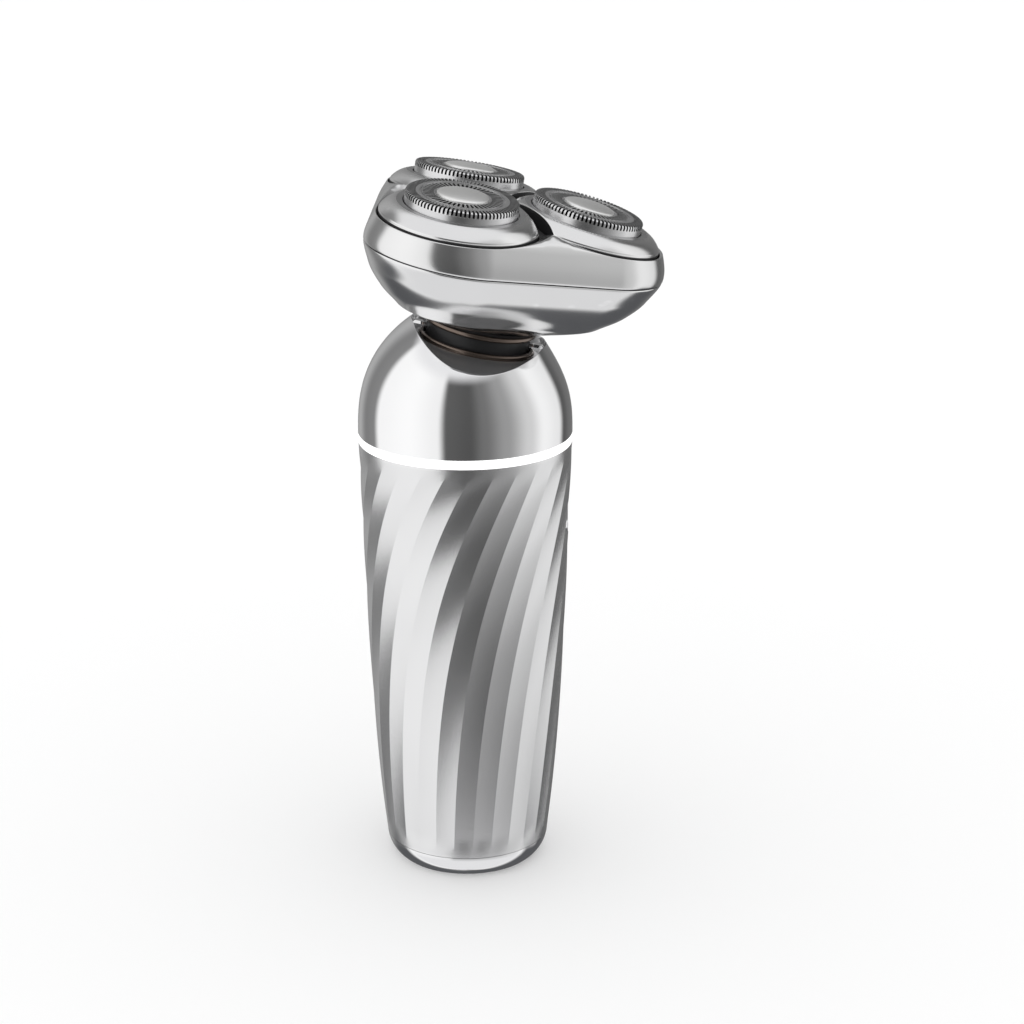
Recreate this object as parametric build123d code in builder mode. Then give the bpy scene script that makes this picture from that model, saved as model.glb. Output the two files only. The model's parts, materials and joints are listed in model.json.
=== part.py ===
from build123d import *
import os
from math import atan, cos, floor, pi, radians, sin, sqrt, tan

# Rotary shaver: a twisted, faceted handle and a leaning three-cutter head on a gimbal.
# Origin: centre of the base face on the handle's axis. +Z up, front of the shaver to -Y.

# ---------------------------------------------------------------- driving dimensions (mm)
# Handle
body_radius = 23.0
grip_bottom = 5.0
grip_length = 90.8
grip_taper = 2.9
grip_toe_in = 2.15
grip_wall = 1.8
facet_count = 28
twist_rate = 0.13
twist_growth = 4.67e-5
base_face_radius = 15.2
base_floor = 2.0
spigot_wall = 1.5
spigot_length = 5.5
seal_section = 0.8
light_band = 1.9
band_gap = 0.1
light_spigot = 3.8
light_wall = 1.1

# Upper casing and neck
casing_rise = 19.9
casing_wall = 1.6
neck_lean = 3.0
rim_radius = 14.5
head_tilt = 11.5
neck_drop = 2.2
saddle_half_width = 18.4
saddle_half_depth = 14.25
saddle_top = -0.6
saddle_fall = 3.54
saddle_thickness = 3.9
ball_radius = 11.2
ball_bore = 9.9
pivot_height = 0.8
tilt_range = 6.0
ring_width = 0.7
ring_height = 0.6
flare_height = 4.9
flare_radius = 12.6

# Gimbal
gimbal_outer = 9.4
gimbal_inner = 7.2
gimbal_height = 2.6
pin_radius = 0.7
lug_width = 2.6
lug_depth = 2.6
lug_height = 2.3

# Head
head_reach = 35.8
head_lobe = 18.4
head_equator = 21.5
seam_height = 20.6
head_wall = 1.5
dome_height = 31.4
dome_curve = 0.0037
crown_radius = 19.0

# Gears
gear_module = 0.75
sun_teeth = 16
drive_teeth = 30
gear_width = 3.0
gear_backlash = 0.2
tray_height = 11.5
plate_thickness = 1.6
gear_gap = 1.1

# Cutters and petals
cutter_count = 3
cutter_radius = 11.8
cutter_height = 33.0
cutter_rise = 2.4
cutter_wall = 0.6
petal_radius = 16.7
petal_tilt = 5.0
petal_skirt = 3.4
petal_wall = 0.8
petal_swing = 2.5
track_width = 3.15
groove_width = 0.4
gap_width = 1.5
gap_flare = 3.8

# Works
motor_radius = 10.0
motor_length = 28.0
shaft_radius = 1.0
battery_radius = 7.1
battery_length = 49.5
battery_bottom = 20.0
board_thickness = 1.0
button_height = 79.8
button_radius = 3.8
button_travel = 0.5
button_recess = 0.3
screw_radius = 0.9
screw_head = 1.6

# Named clearances
running_fit = 0.05
loose_fit = 0.1
moving_gap = 0.3
pocket_gap = 0.25
seam_gap = 0.2

# ---------------------------------------------------------------- derived frames and shapes
grip_top = grip_bottom + grip_length
band_bottom = grip_top
band_top = band_bottom + light_band
casing_bottom = band_top + band_gap
rim_height = casing_bottom + casing_rise
casing_top = rim_height + neck_drop * cos(radians(head_tilt))
pitch_radius = gear_module * (sun_teeth + drive_teeth) / 2
petal_height = cutter_height - cutter_rise
# the outer cutter's two tracks, each of the same width, and the cap inside them
track_split = cutter_radius - track_width
cap_radius = track_split - track_width
cutter_angles = [-90 + i * 360 / cutter_count for i in range(cutter_count)]
valley_angles = [a + 180 / cutter_count for a in cutter_angles]



def leaning_plane(y, z, angle):
    """Plane at a height on the shaver's middle, leaning to the front by an angle."""
    lean = radians(angle)
    return Plane(origin=(0, y, z), x_dir=(1, 0, 0), z_dir=(0, -sin(lean), cos(lean)))


neck_y = -neck_lean + neck_drop * sin(radians(head_tilt))
head_plane = leaning_plane(neck_y, rim_height, head_tilt)
head_axis = Axis(head_plane.origin, head_plane.z_dir)


def head(height):
    """Plane square to the head's axis at a height above the neck centre."""
    return head_plane.offset(height)


def head_point(x, y, w):
    return head_plane.from_local_coords((x, y, w))


def head_direction(angle):
    return head_plane.x_dir * cos(radians(angle)) + head_plane.y_dir * sin(radians(angle))


def section_plane(origin, outward, axis):
    """Plane through an axis: local x is outward, local y runs up the axis."""
    return Plane(origin=origin, x_dir=outward, z_dir=outward.cross(axis))


neck_section = section_plane(head_plane.origin, head_plane.x_dir, head_plane.z_dir)


def petal_plane(angle):
    """Plane of one petal's top ring, tilted outwards, centred on its drive gear."""
    outward = head_direction(angle)
    tilt = radians(petal_tilt)
    return Plane(
        origin=head_plane.origin + outward * pitch_radius + head_plane.z_dir * petal_height,
        x_dir=outward * cos(tilt) - head_plane.z_dir * sin(tilt),
        z_dir=head_plane.z_dir * cos(tilt) + outward * sin(tilt),
    )


def petal_section(angle):
    plane = petal_plane(angle)
    return section_plane(plane.origin, plane.x_dir, plane.z_dir)


def petal_axis(angle):
    plane = petal_plane(angle)
    return Axis(plane.origin, plane.z_dir)


def save(piece, label):
    piece.part.label = label
    export_step(piece.part, f"parts/{label}.step")


def screw(seat, length):
    """Pan-head screw: its head stands on the seat plane and its shank runs down from it."""
    with BuildPart() as body:
        with BuildSketch(seat):
            Circle(screw_head)
        extrude(amount=0.9)
        with BuildSketch(seat):
            Circle(screw_radius)
        extrude(amount=-length)
    return body.part


def grip_radius(z):
    """Corner radius of the grip: a straight taper with a toe-in near the base."""
    rest = 1 - (z - grip_bottom) / grip_length
    return body_radius - loose_fit / 2 - grip_taper * rest - grip_toe_in * rest**4


def bore_radius(z):
    facet_depth = grip_radius(z) * (1 - cos(pi / facet_count))
    return grip_radius(z) - facet_depth - grip_wall


def heights(low, high, count):
    return [low + (high - low) * i / (count - 1) for i in range(count)]


os.makedirs("parts", exist_ok=True)

# ---------------------------------------------------------------- handle: base
with BuildPart() as base_cap:
    cap_seat = grip_bottom - band_gap
    with BuildSketch(Plane.XZ):
        with BuildLine():
            Line((0, 0), (base_face_radius, 0))
            ThreePointArc(
                (base_face_radius, 0),
                (grip_radius(grip_bottom) - 1.25, 0.3 * cap_seat),
                (grip_radius(grip_bottom), cap_seat),
            )
            Line((grip_radius(grip_bottom), cap_seat), (0, cap_seat))
            Line((0, cap_seat), (0, 0))
        make_face()
    revolve(axis=Axis.Z)
    spigot_radius = bore_radius(grip_bottom) - running_fit
    with BuildSketch(Plane.XY.offset(base_floor)):
        Circle(spigot_radius)
    extrude(amount=cap_seat - base_floor + spigot_length)
    with BuildSketch(Plane.XY.offset(base_floor)):
        Circle(spigot_radius - spigot_wall)
    extrude(amount=cap_seat + spigot_length, mode=Mode.SUBTRACT)
    # groove for the seal, half way up the spigot
    seal_height = grip_bottom + spigot_length / 2
    with BuildSketch(Plane.XY.offset(seal_height - seal_section / 2)):
        Circle(spigot_radius + moving_gap)
        Circle(spigot_radius - seal_section, mode=Mode.SUBTRACT)
    extrude(amount=seal_section, mode=Mode.SUBTRACT)
    # charging slot and the two posts of the charging board
    socket_y = 7.0
    slot_size = (9.1, 3.4)
    with BuildSketch():
        with Locations((0, socket_y)):
            SlotOverall(*slot_size)
    extrude(amount=base_floor, mode=Mode.SUBTRACT)
    post_radius = 2.2
    board_height = base_floor + 6.3
    board_post_x = 9.0
    board_post_y = -4.0
    board_posts = [(board_post_x, board_post_y), (-board_post_x, board_post_y)]
    with BuildSketch(Plane.XY.offset(base_floor)):
        with Locations(*board_posts):
            Circle(post_radius)
            Circle(screw_radius, mode=Mode.SUBTRACT)
    extrude(amount=board_height - base_floor)
save(base_cap, "base_cap")

with BuildPart() as base_seal:
    with BuildSketch(Plane.XY.offset(seal_height - seal_section / 2)):
        Circle(spigot_radius + running_fit)
        Circle(spigot_radius - seal_section, mode=Mode.SUBTRACT)
    extrude(amount=seal_section)
save(base_seal, "base_seal")

with BuildPart() as usb_c_socket:
    socket_size = (slot_size[0] - 2 * loose_fit, slot_size[1] - 2 * loose_fit)
    shell_wall = 0.35
    with BuildSketch(Plane.XY.offset(shell_wall)):
        with Locations((0, socket_y)):
            SlotOverall(*socket_size)
    extrude(amount=board_height - shell_wall)
    with BuildSketch(Plane.XY.offset(shell_wall)):
        with Locations((0, socket_y)):
            SlotOverall(socket_size[0] - 2 * shell_wall, socket_size[1] - 2 * shell_wall)
    extrude(amount=board_height - 4 * shell_wall, mode=Mode.SUBTRACT)
    with BuildSketch(Plane.XY.offset(2 * shell_wall)):
        with Locations((0, socket_y)):
            Rectangle(socket_size[0] - 2.2, 2 * shell_wall)
    extrude(amount=board_height - 3 * shell_wall)
save(usb_c_socket, "usb_c_socket")

with BuildPart() as charge_board:
    with BuildSketch(Plane.XY.offset(board_height)):
        Circle(spigot_radius - spigot_wall - moving_gap)
        with Locations(*board_posts):
            Circle(screw_radius, mode=Mode.SUBTRACT)
    extrude(amount=board_thickness)
save(charge_board, "charge_board")

# ---------------------------------------------------------------- handle: grip and light band
with BuildPart() as grip_sleeve:
    for z in heights(grip_bottom, grip_top, 10):
        turn = twist_rate * z + twist_growth * z**3 + 5.6
        with BuildSketch(Plane.XY.offset(z)):
            RegularPolygon(radius=grip_radius(z), side_count=facet_count, rotation=turn)
    loft(ruled=True)
    bore_levels = heights(grip_bottom, grip_top, 7)
    with BuildSketch(Plane.XZ):
        with BuildLine():
            Polyline(*[(bore_radius(z), z) for z in bore_levels])
            Polyline(
                (bore_radius(grip_top), grip_top),
                (0, grip_top),
                (0, grip_bottom),
                (bore_radius(grip_bottom), grip_bottom),
            )
        make_face()
    revolve(axis=Axis.Z, mode=Mode.SUBTRACT)
    # straight seats for the base spigot and for the light band
    with BuildSketch(Plane.XY.offset(grip_bottom)):
        Circle(bore_radius(grip_bottom))
    extrude(amount=spigot_length, mode=Mode.SUBTRACT)
    # round opening for the power button
    bezel_radius = button_radius + 0.8
    with BuildSketch(Plane.XZ.offset(body_radius)):
        with Locations((0, button_height)):
            Circle(bezel_radius)
    extrude(amount=-body_radius / 2, mode=Mode.SUBTRACT)
save(grip_sleeve, "grip_sleeve")

with BuildPart() as light_ring:
    band_radius = body_radius - loose_fit / 2
    spigot_outer = bore_radius(grip_top) - running_fit
    with BuildSketch(Plane.XY.offset(band_bottom)):
        Circle(band_radius)
        Circle(spigot_outer - light_wall, mode=Mode.SUBTRACT)
    extrude(amount=light_band)
    with BuildSketch(Plane.XY.offset(band_bottom - light_spigot)):
        Circle(bore_radius(band_bottom - light_spigot) - running_fit)
        Circle(spigot_outer - light_wall, mode=Mode.SUBTRACT)
    extrude(amount=2 * light_spigot + light_band)
save(light_ring, "light_ring")

led_board_height = band_bottom + 0.3
with BuildPart() as led_board:
    with BuildSketch(Plane.XY.offset(led_board_height)):
        Circle(spigot_outer - light_wall - loose_fit)
        Circle(motor_radius + 4.2, mode=Mode.SUBTRACT)
    extrude(amount=0.8)
save(led_board, "led_board")

with BuildPart() as ring_leds:
    with BuildSketch(Plane.XY.offset(led_board_height + 0.8)):
        with PolarLocations(spigot_outer - light_wall - 1.4, 8):
            Rectangle(1.6, 2.0)
    extrude(amount=0.9)
save(ring_leds, "ring_leds")

# ---------------------------------------------------------------- handle: upper casing and neck
def casing_dome(wall):
    """Solid dome from the light band to the tilted rim, offset inwards by a wall."""
    rise = casing_top - casing_bottom
    with BuildPart() as dome:
        for share in (0, 0.27, 0.5, 0.68, 0.84, 1):
            level = casing_bottom + rise * share
            radius = rim_radius + (body_radius - rim_radius) * (1 - share**2.6) - wall
            with BuildSketch(leaning_plane(-neck_lean * share**3, level, head_tilt * share**1.5)):
                Circle(radius)
        loft()
    return dome.part


with BuildPart() as casing_inside:
    add(casing_dome(casing_wall))
    split(bisect_by=head(saddle_top - casing_wall), keep=Keep.BOTTOM)

with BuildPart() as upper_casing:
    add(casing_dome(0))
    # the inside stops below the rim, so the two horns beside the neck stay solid
    add(casing_inside.part, mode=Mode.SUBTRACT)
    with BuildSketch(head(saddle_top - saddle_thickness - casing_wall)):
        Ellipse(saddle_half_width, saddle_half_depth)
    extrude(amount=4 * saddle_thickness, mode=Mode.SUBTRACT)
save(upper_casing, "upper_casing")

with BuildPart() as neck_saddle:
    add(casing_dome(0))
    with BuildSketch(neck_section):
        edge_radius = body_radius
        with BuildLine():
            Polyline(
                (ball_radius + moving_gap, saddle_top),
                (ball_radius + 2 * ring_width, saddle_top),
                (edge_radius, saddle_top - saddle_fall),
                (edge_radius, saddle_top - saddle_thickness),
                (ball_radius + moving_gap, saddle_top - saddle_thickness),
                close=True,
            )
        make_face()
    revolve(axis=head_axis, mode=Mode.INTERSECT)
    add(upper_casing.part, mode=Mode.SUBTRACT)
save(neck_saddle, "neck_saddle")

with BuildPart() as lower_neck_ring:
    with BuildSketch(head(saddle_top)):
        Circle(ball_radius + moving_gap + ring_width)
        Circle(ball_radius + moving_gap, mode=Mode.SUBTRACT)
    extrude(amount=ring_height)
    fillet(lower_neck_ring.edges().group_by(head_axis)[-1], ring_width / 3)
save(lower_neck_ring, "lower_neck_ring")

with BuildPart() as roll_lugs:
    lug_inner = ball_radius + moving_gap + loose_fit
    for side in (1, -1):
        with BuildSketch(head(saddle_top)):
            with Locations((0, side * (lug_inner + lug_depth / 2))):
                Rectangle(lug_width, lug_depth)
        extrude(amount=lug_height)
    chamfer(roll_lugs.edges().group_by(head_axis)[-1], lug_width / 5)
    # pin holes along the roll axis, and the ring and saddle that the lugs stand on
    with BuildSketch(Plane(head_point(0, 0, pivot_height), x_dir=(1, 0, 0), z_dir=head_plane.y_dir)):
        Circle(pin_radius)
    extrude(amount=2 * ball_radius, both=True, mode=Mode.SUBTRACT)
    add(lower_neck_ring.part, mode=Mode.SUBTRACT)
    add(neck_saddle.part, mode=Mode.SUBTRACT)
    add(upper_casing.part, mode=Mode.SUBTRACT)
save(roll_lugs, "roll_lugs")

with BuildPart() as roll_pins:
    pin_start = (gimbal_inner + gimbal_outer) / 2
    for side in (1, -1):
        start = head_point(0, side * pin_start, pivot_height)
        with BuildSketch(Plane(start, x_dir=(1, 0, 0), z_dir=head_plane.y_dir * side)):
            Circle(pin_radius)
        extrude(amount=lug_inner + lug_depth / 2 - pin_start)
save(roll_pins, "roll_pins")

# ---------------------------------------------------------------- handle: motor and its bracket
bracket_top = saddle_top - saddle_thickness
motor_top = bracket_top - plate_thickness
motor_boss = 3.0
bracket_screw_x = 14.8
motor_screw_x = 7.0
motor_face = 1.5
with BuildPart() as motor_bracket:
    with BuildSketch(head(bracket_top)):
        Circle(bracket_screw_x + screw_head + loose_fit)
        Circle(motor_boss + loose_fit, mode=Mode.SUBTRACT)
        for screw_x in (motor_screw_x, bracket_screw_x):
            with Locations((screw_x, 0), (-screw_x, 0)):
                Circle(screw_radius, mode=Mode.SUBTRACT)
    extrude(amount=-plate_thickness)
    with BuildSketch(head(motor_top)):
        Circle(motor_radius + plate_thickness)
        Circle(motor_radius + running_fit, mode=Mode.SUBTRACT)
    extrude(amount=-motor_length * 0.8)
save(motor_bracket, "motor_bracket")

with BuildPart() as motor_screws:
    # two from above into the motor, two from below into the saddle
    for side in (1, -1):
        motor_seat = Plane(head_point(side * motor_screw_x, 0, bracket_top), z_dir=head_plane.z_dir)
        add(screw(motor_seat, plate_thickness + motor_face))
        bracket_seat = Plane(head_point(side * bracket_screw_x, 0, motor_top), z_dir=-head_plane.z_dir)
        add(screw(bracket_seat, plate_thickness))
save(motor_screws, "motor_screws")

with BuildPart() as motor_can:
    end_cap_length = 4.0
    with BuildSketch(head(motor_top)):
        Circle(motor_radius)
        with Locations((motor_screw_x, 0), (-motor_screw_x, 0)):
            Circle(screw_radius, mode=Mode.SUBTRACT)
    extrude(amount=-1.5)
    with BuildSketch(head(motor_top - 1.5)):
        Circle(motor_radius)
    extrude(amount=-motor_length + end_cap_length + 1.5)
    with BuildSketch(head(motor_top)):
        Circle(motor_boss)
    extrude(amount=plate_thickness - loose_fit)
    with BuildSketch(head(bracket_top)):
        Circle(shaft_radius + running_fit)
    extrude(amount=-motor_length / 2, mode=Mode.SUBTRACT)
save(motor_can, "motor_can")

with BuildPart() as motor_end_cap:
    with BuildSketch(head(motor_top - motor_length)):
        Circle(motor_radius)
    extrude(amount=end_cap_length)
    chamfer(motor_end_cap.edges().group_by(head_axis)[0], 0.8)
    with BuildSketch(head(motor_top - motor_length)):
        with Locations((6, 0), (-6, 0)):
            Rectangle(0.5, 2.4)
    extrude(amount=-1.8)
save(motor_end_cap, "motor_end_cap")

with BuildPart() as motor_spindle:
    bit_radius = shaft_radius + 0.5
    with BuildSketch(head(bracket_top - motor_length / 2 + 2 * moving_gap)):
        Circle(shaft_radius)
    extrude(amount=pivot_height - bracket_top + motor_length / 2 - 2 * moving_gap)
    with BuildSketch(head(bracket_top + moving_gap)):
        Circle(bit_radius)
    extrude(amount=2.4)
    with Locations(head(pivot_height)):
        Sphere(bit_radius)
save(motor_spindle, "motor_spindle")

with BuildPart() as drive_pin:
    drive_pin_radius = 0.4
    cup_inner = bit_radius + 0.6
    cup_outer = cup_inner + 1.1
    with BuildSketch(Plane(head_point(0, 0, pivot_height), x_dir=(0, 1, 0), z_dir=(1, 0, 0))):
        Circle(drive_pin_radius)
    extrude(amount=cup_outer - 2 * moving_gap, both=True)
    add(motor_spindle.part, mode=Mode.SUBTRACT)
save(drive_pin, "drive_pin")

# ---------------------------------------------------------------- handle: battery and electronics
battery_y = 5.2
chassis_y = battery_y - battery_radius - running_fit
chassis_wall = 1.6
spine_width = 22.0
battery_top = battery_bottom + battery_length
with BuildPart() as battery:
    with BuildSketch(Plane.XY.offset(battery_bottom)):
        with Locations((0, battery_y)):
            Circle(battery_radius)
    extrude(amount=battery_length)
    fillet(battery.edges(), 0.6)
    with BuildSketch(Plane.XY.offset(battery_top)):
        with Locations((0, battery_y)):
            Circle(2.6)
    extrude(amount=0.8)
save(battery, "battery")

with BuildPart() as battery_tabs:
    tab_thickness = 0.3
    for z, end in ((battery_top + 0.8, 1), (battery_bottom, -1)):
        with BuildSketch(Plane.XY.offset(z)):
            with Locations((0, battery_y)):
                Rectangle(4, 8)
        extrude(amount=end * tab_thickness)
save(battery_tabs, "battery_tabs")

with BuildPart() as chassis:
    chassis_bottom = board_height + board_thickness + 1.2
    shelf_levels = (
        battery_bottom - tab_thickness - chassis_wall,
        battery_bottom + battery_length / 2,
        battery_top + 0.8 + tab_thickness,
    )
    with BuildSketch(Plane.XY.offset(chassis_bottom)):
        with Locations((0, chassis_y - chassis_wall / 2)):
            Rectangle(spine_width, chassis_wall)
    extrude(amount=shelf_levels[-1] + chassis_wall - chassis_bottom)
    for z in shelf_levels:
        with BuildSketch(Plane.XY.offset(z)):
            Circle(bore_radius(z) - loose_fit)
            with Locations((0, chassis_y - chassis_wall - body_radius)):
                Rectangle(2 * body_radius, 2 * body_radius, mode=Mode.SUBTRACT)
        extrude(amount=chassis_wall)
    with BuildSketch(Plane.XY.offset(battery_bottom)):
        with Locations((0, battery_y)):
            Circle(battery_radius + running_fit)
    extrude(amount=battery_length, mode=Mode.SUBTRACT)
    # pillars for the control board
    board_back = chassis_y - chassis_wall - 6.5
    board_screw_x = 7.5
    board_screw_levels = (battery_bottom + 14, battery_top - 4)
    board_holes = [(x, z) for x in (board_screw_x, -board_screw_x) for z in board_screw_levels]
    with BuildSketch(Plane.XZ.offset(-chassis_y + chassis_wall)):
        with Locations(*board_holes):
            Circle(1.8)
            Circle(screw_radius, mode=Mode.SUBTRACT)
    extrude(amount=chassis_y - chassis_wall - board_back)
save(chassis, "chassis")

with BuildPart() as control_board:
    board_bottom = battery_bottom + 8
    board_top = button_height + 6
    with BuildSketch(Plane.XZ.offset(-board_back)):
        with Locations((0, (board_bottom + board_top) / 2)):
            RectangleRounded(20, board_top - board_bottom, 1.5)
        with Locations(*board_holes):
            Circle(screw_radius, mode=Mode.SUBTRACT)
    extrude(amount=board_thickness)
    # charging coil, controller and two capacitors
    with BuildSketch(Plane.XZ.offset(-board_back + board_thickness)):
        with Locations((0, board_bottom + 14)):
            Rectangle(6, 6)
        with Locations((0, board_bottom + 25)):
            Rectangle(4, 5)
        with Locations((5, board_bottom + 33), (-5, board_bottom + 33)):
            Rectangle(3, 2)
    extrude(amount=1.4)
save(control_board, "control_board")


with BuildPart() as board_screws:
    for x in (board_post_x, -board_post_x):
        add(screw(Plane((x, board_post_y, board_height + board_thickness)), 4.5))
    for x in (board_screw_x, -board_screw_x):
        for z in board_screw_levels:
            add(screw(Plane((x, board_back - board_thickness, z), z_dir=(0, -1, 0)), board_thickness + 4))
save(board_screws, "board_screws")

# ---------------------------------------------------------------- handle: power button
button_front = grip_radius(button_height) - button_recess
board_front = -board_back + board_thickness
switch_depth = 3.0
plunger_end = board_front + switch_depth + 0.6
with BuildPart() as tactile_switch:
    with BuildSketch(Plane.XZ.offset(board_front)):
        with Locations((0, button_height)):
            Rectangle(6, 6)
    extrude(amount=switch_depth)
    with BuildSketch(Plane.XZ.offset(board_front + switch_depth)):
        with Locations((0, button_height)):
            Circle(1.7)
    extrude(amount=0.6)
save(tactile_switch, "tactile_switch")

with BuildPart() as button_bezel:
    bezel_depth = 2.6
    with BuildSketch(Plane.XZ.offset(button_front - bezel_depth)):
        with Locations((0, button_height)):
            Circle(bezel_radius)
            Circle(button_radius + running_fit, mode=Mode.SUBTRACT)
    extrude(amount=bezel_depth)
    chamfer(button_bezel.faces().sort_by(Axis.Y)[0].inner_wires()[0].edges(), 0.3)
save(button_bezel, "button_bezel")

with BuildPart() as button_seal:
    seal_back = button_front - bezel_depth - 0.6
    plunger_radius = 1.4
    with BuildSketch(Plane.XZ.offset(seal_back)):
        with Locations((0, button_height)):
            Circle(bezel_radius)
            Circle(plunger_radius + running_fit, mode=Mode.SUBTRACT)
    extrude(amount=0.6)
save(button_seal, "button_seal")

with BuildPart() as power_button:
    button_face = button_front - 0.1
    button_cap = 1.7
    with BuildSketch(Plane.XZ.offset(button_face - button_cap)):
        with Locations((0, button_height)):
            Circle(button_radius)
    extrude(amount=button_cap)
    fillet(power_button.faces().sort_by(Axis.Y)[0].edges(), 0.4)
    stem_end = plunger_end + button_travel + loose_fit
    with BuildSketch(Plane.XZ.offset(stem_end)):
        with Locations((0, button_height)):
            Circle(plunger_radius)
    extrude(amount=button_face - button_cap - stem_end)
save(power_button, "power_button")

# ---------------------------------------------------------------- gimbal
with BuildPart() as gimbal_ring:
    with BuildSketch(head(pivot_height - gimbal_height / 2)):
        Circle(gimbal_outer)
        Circle(gimbal_inner, mode=Mode.SUBTRACT)
    extrude(amount=gimbal_height)
    for bore in (head_plane.x_dir, head_plane.y_dir):
        with BuildSketch(Plane(head_point(0, 0, pivot_height), x_dir=head_plane.z_dir, z_dir=bore)):
            Circle(pin_radius + running_fit)
        extrude(amount=gimbal_outer, both=True, mode=Mode.SUBTRACT)
save(gimbal_ring, "gimbal_ring")

# ---------------------------------------------------------------- head: shell and neck
# Rounded-triangle sections: height share, corner share and lobe share of the equator's values.
lower_shape = ((0, 0.17, 0.58), (0.2, 0.77, 0.63), (0.42, 0.885, 0.79), (0.67, 0.93, 0.935), (1, 1, 1))
upper_shape = ((0, 1, 1), (0.32, 1, 0.925), (0.45, 1, 0.86), (0.58, 1, 0.75), (0.75, 1, 0.5))
shell_bottom = flare_height + 0.1
head_corner = head_reach - head_lobe


def rounded_triangle(corner, lobe):
    """Triangle with corners towards the cutters, rounded by a lobe radius."""
    with BuildSketch() as outline:
        Polygon(*[(corner * cos(radians(a)), corner * sin(radians(a))) for a in cutter_angles], align=None)
        offset(amount=lobe, kind=Kind.ARC)
    return outline.sketch


def head_section(height):
    """Corner distance and lobe radius of the lower shell at a height."""
    share = (height - shell_bottom) / (head_equator - shell_bottom)
    for (low, corner_a, lobe_a), (high, corner_b, lobe_b) in zip(lower_shape, lower_shape[1:]):
        if share <= high:
            mix = (share - low) / (high - low)
            corner = corner_a + (corner_b - corner_a) * mix
            lobe = lobe_a + (lobe_b - lobe_a) * mix
            return head_corner * corner, head_lobe * lobe
    return head_corner, head_lobe


def lower_body(wall):
    rise = head_equator - shell_bottom
    with BuildPart() as body:
        for height_share, corner, lobe in lower_shape:
            with BuildSketch(head(shell_bottom + rise * height_share)):
                add(rounded_triangle(head_corner * corner, head_lobe * lobe - wall))
        loft()
    return body.part


def upper_body(wall):
    rise = dome_height - head_equator
    with BuildPart() as body:
        for height_share, corner, lobe in upper_shape:
            with BuildSketch(head(head_equator + rise * height_share * 1.6)):
                add(rounded_triangle(head_corner * corner, head_lobe * lobe - wall))
        loft()
        with BuildSketch(head(seam_height)):
            add(rounded_triangle(head_corner, head_lobe - wall))
        extrude(amount=head_equator - seam_height)
    return body.part


with BuildPart() as head_lower_shell:
    add(lower_body(0))
    split(bisect_by=head(seam_height - seam_gap), keep=Keep.BOTTOM)
    inside = lower_body(head_wall).split(head(shell_bottom + head_wall), keep=Keep.TOP)
    add(inside, mode=Mode.SUBTRACT)
    with BuildSketch(head(shell_bottom)):
        Circle(ball_radius + moving_gap + running_fit)
    extrude(amount=head_wall, mode=Mode.SUBTRACT)
save(head_lower_shell, "head_lower_shell")

with BuildPart() as ball_neck:
    skirt_drop = 3.0
    ball_top = pivot_height + 2.3
    neck_top = shell_bottom + head_wall
    skirt_radius = sqrt(ball_radius**2 - skirt_drop**2)
    throat_radius = sqrt(ball_radius**2 - (ball_top - pivot_height) ** 2)
    with BuildSketch(neck_section):
        with BuildLine():
            Line((ball_bore, pivot_height - skirt_drop), (skirt_radius, pivot_height - skirt_drop))
            ThreePointArc(
                (skirt_radius, pivot_height - skirt_drop),
                (ball_radius, pivot_height),
                (throat_radius, ball_top),
            )
            Polyline(
                (throat_radius, ball_top),
                (flare_radius, flare_height),
                (flare_radius, shell_bottom),
                (ball_radius + moving_gap, shell_bottom),
                (ball_radius + moving_gap, neck_top),
                (flare_radius, neck_top),
                (flare_radius, neck_top + 1.2),
                (ball_bore, neck_top + 1.2),
                (ball_bore, pivot_height - skirt_drop),
            )
        make_face()
    revolve(axis=head_axis)
    # slots that let the neck nod past the roll pins, and bores for the pitch pins
    slot_rise = ball_radius * sin(radians(tilt_range)) + pin_radius + moving_gap
    with BuildSketch(Plane(head_point(0, 0, pivot_height), x_dir=head_plane.x_dir, z_dir=-head_plane.y_dir)):
        slot_bottom = skirt_drop + 1
        with Locations((0, (slot_rise - slot_bottom) / 2)):
            Rectangle(2 * (pin_radius + moving_gap), slot_rise + slot_bottom)
    extrude(amount=2 * ball_radius, both=True, mode=Mode.SUBTRACT)
    with BuildSketch(Plane(head_point(0, 0, pivot_height), x_dir=head_plane.z_dir, z_dir=head_plane.x_dir)):
        Circle(pin_radius)
    extrude(amount=2 * ball_radius, both=True, mode=Mode.SUBTRACT)
save(ball_neck, "ball_neck")

with BuildPart() as upper_neck_ring:
    ring_bottom = ball_top + moving_gap
    with BuildSketch(head(ring_bottom)):
        Circle(ball_radius + ring_width)
        Circle(throat_radius - 0.5, mode=Mode.SUBTRACT)
    extrude(amount=ring_height)
    fillet(upper_neck_ring.edges().filter_by(GeomType.CIRCLE).sort_by(SortBy.RADIUS)[-2:], ring_height / 3)
    add(ball_neck.part, mode=Mode.SUBTRACT)
save(upper_neck_ring, "upper_neck_ring")

with BuildPart() as pitch_pins:
    for side in (1, -1):
        start = head_point(side * pin_start, 0, pivot_height)
        with BuildSketch(Plane(start, x_dir=head_plane.z_dir, z_dir=head_plane.x_dir * side)):
            Circle(pin_radius)
        extrude(amount=ball_radius - loose_fit - pin_start)
save(pitch_pins, "pitch_pins")

# ---------------------------------------------------------------- head: gearbox
gear_bottom = tray_height + plate_thickness + gear_gap
cover_height = gear_bottom + gear_width + gear_gap
standoff_radius = 1.9
standoff_distance = 18.3
axle_radius = 1.0
bush_radius = 1.5
seats = [(pitch_radius * cos(radians(a)), pitch_radius * sin(radians(a))) for a in cutter_angles]
standoffs = [
    (standoff_distance * cos(radians(a)), standoff_distance * sin(radians(a))) for a in valley_angles
]
tray_corner, tray_lobe = head_section(tray_height)
cover_corner, cover_lobe = head_section(cover_height)

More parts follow.
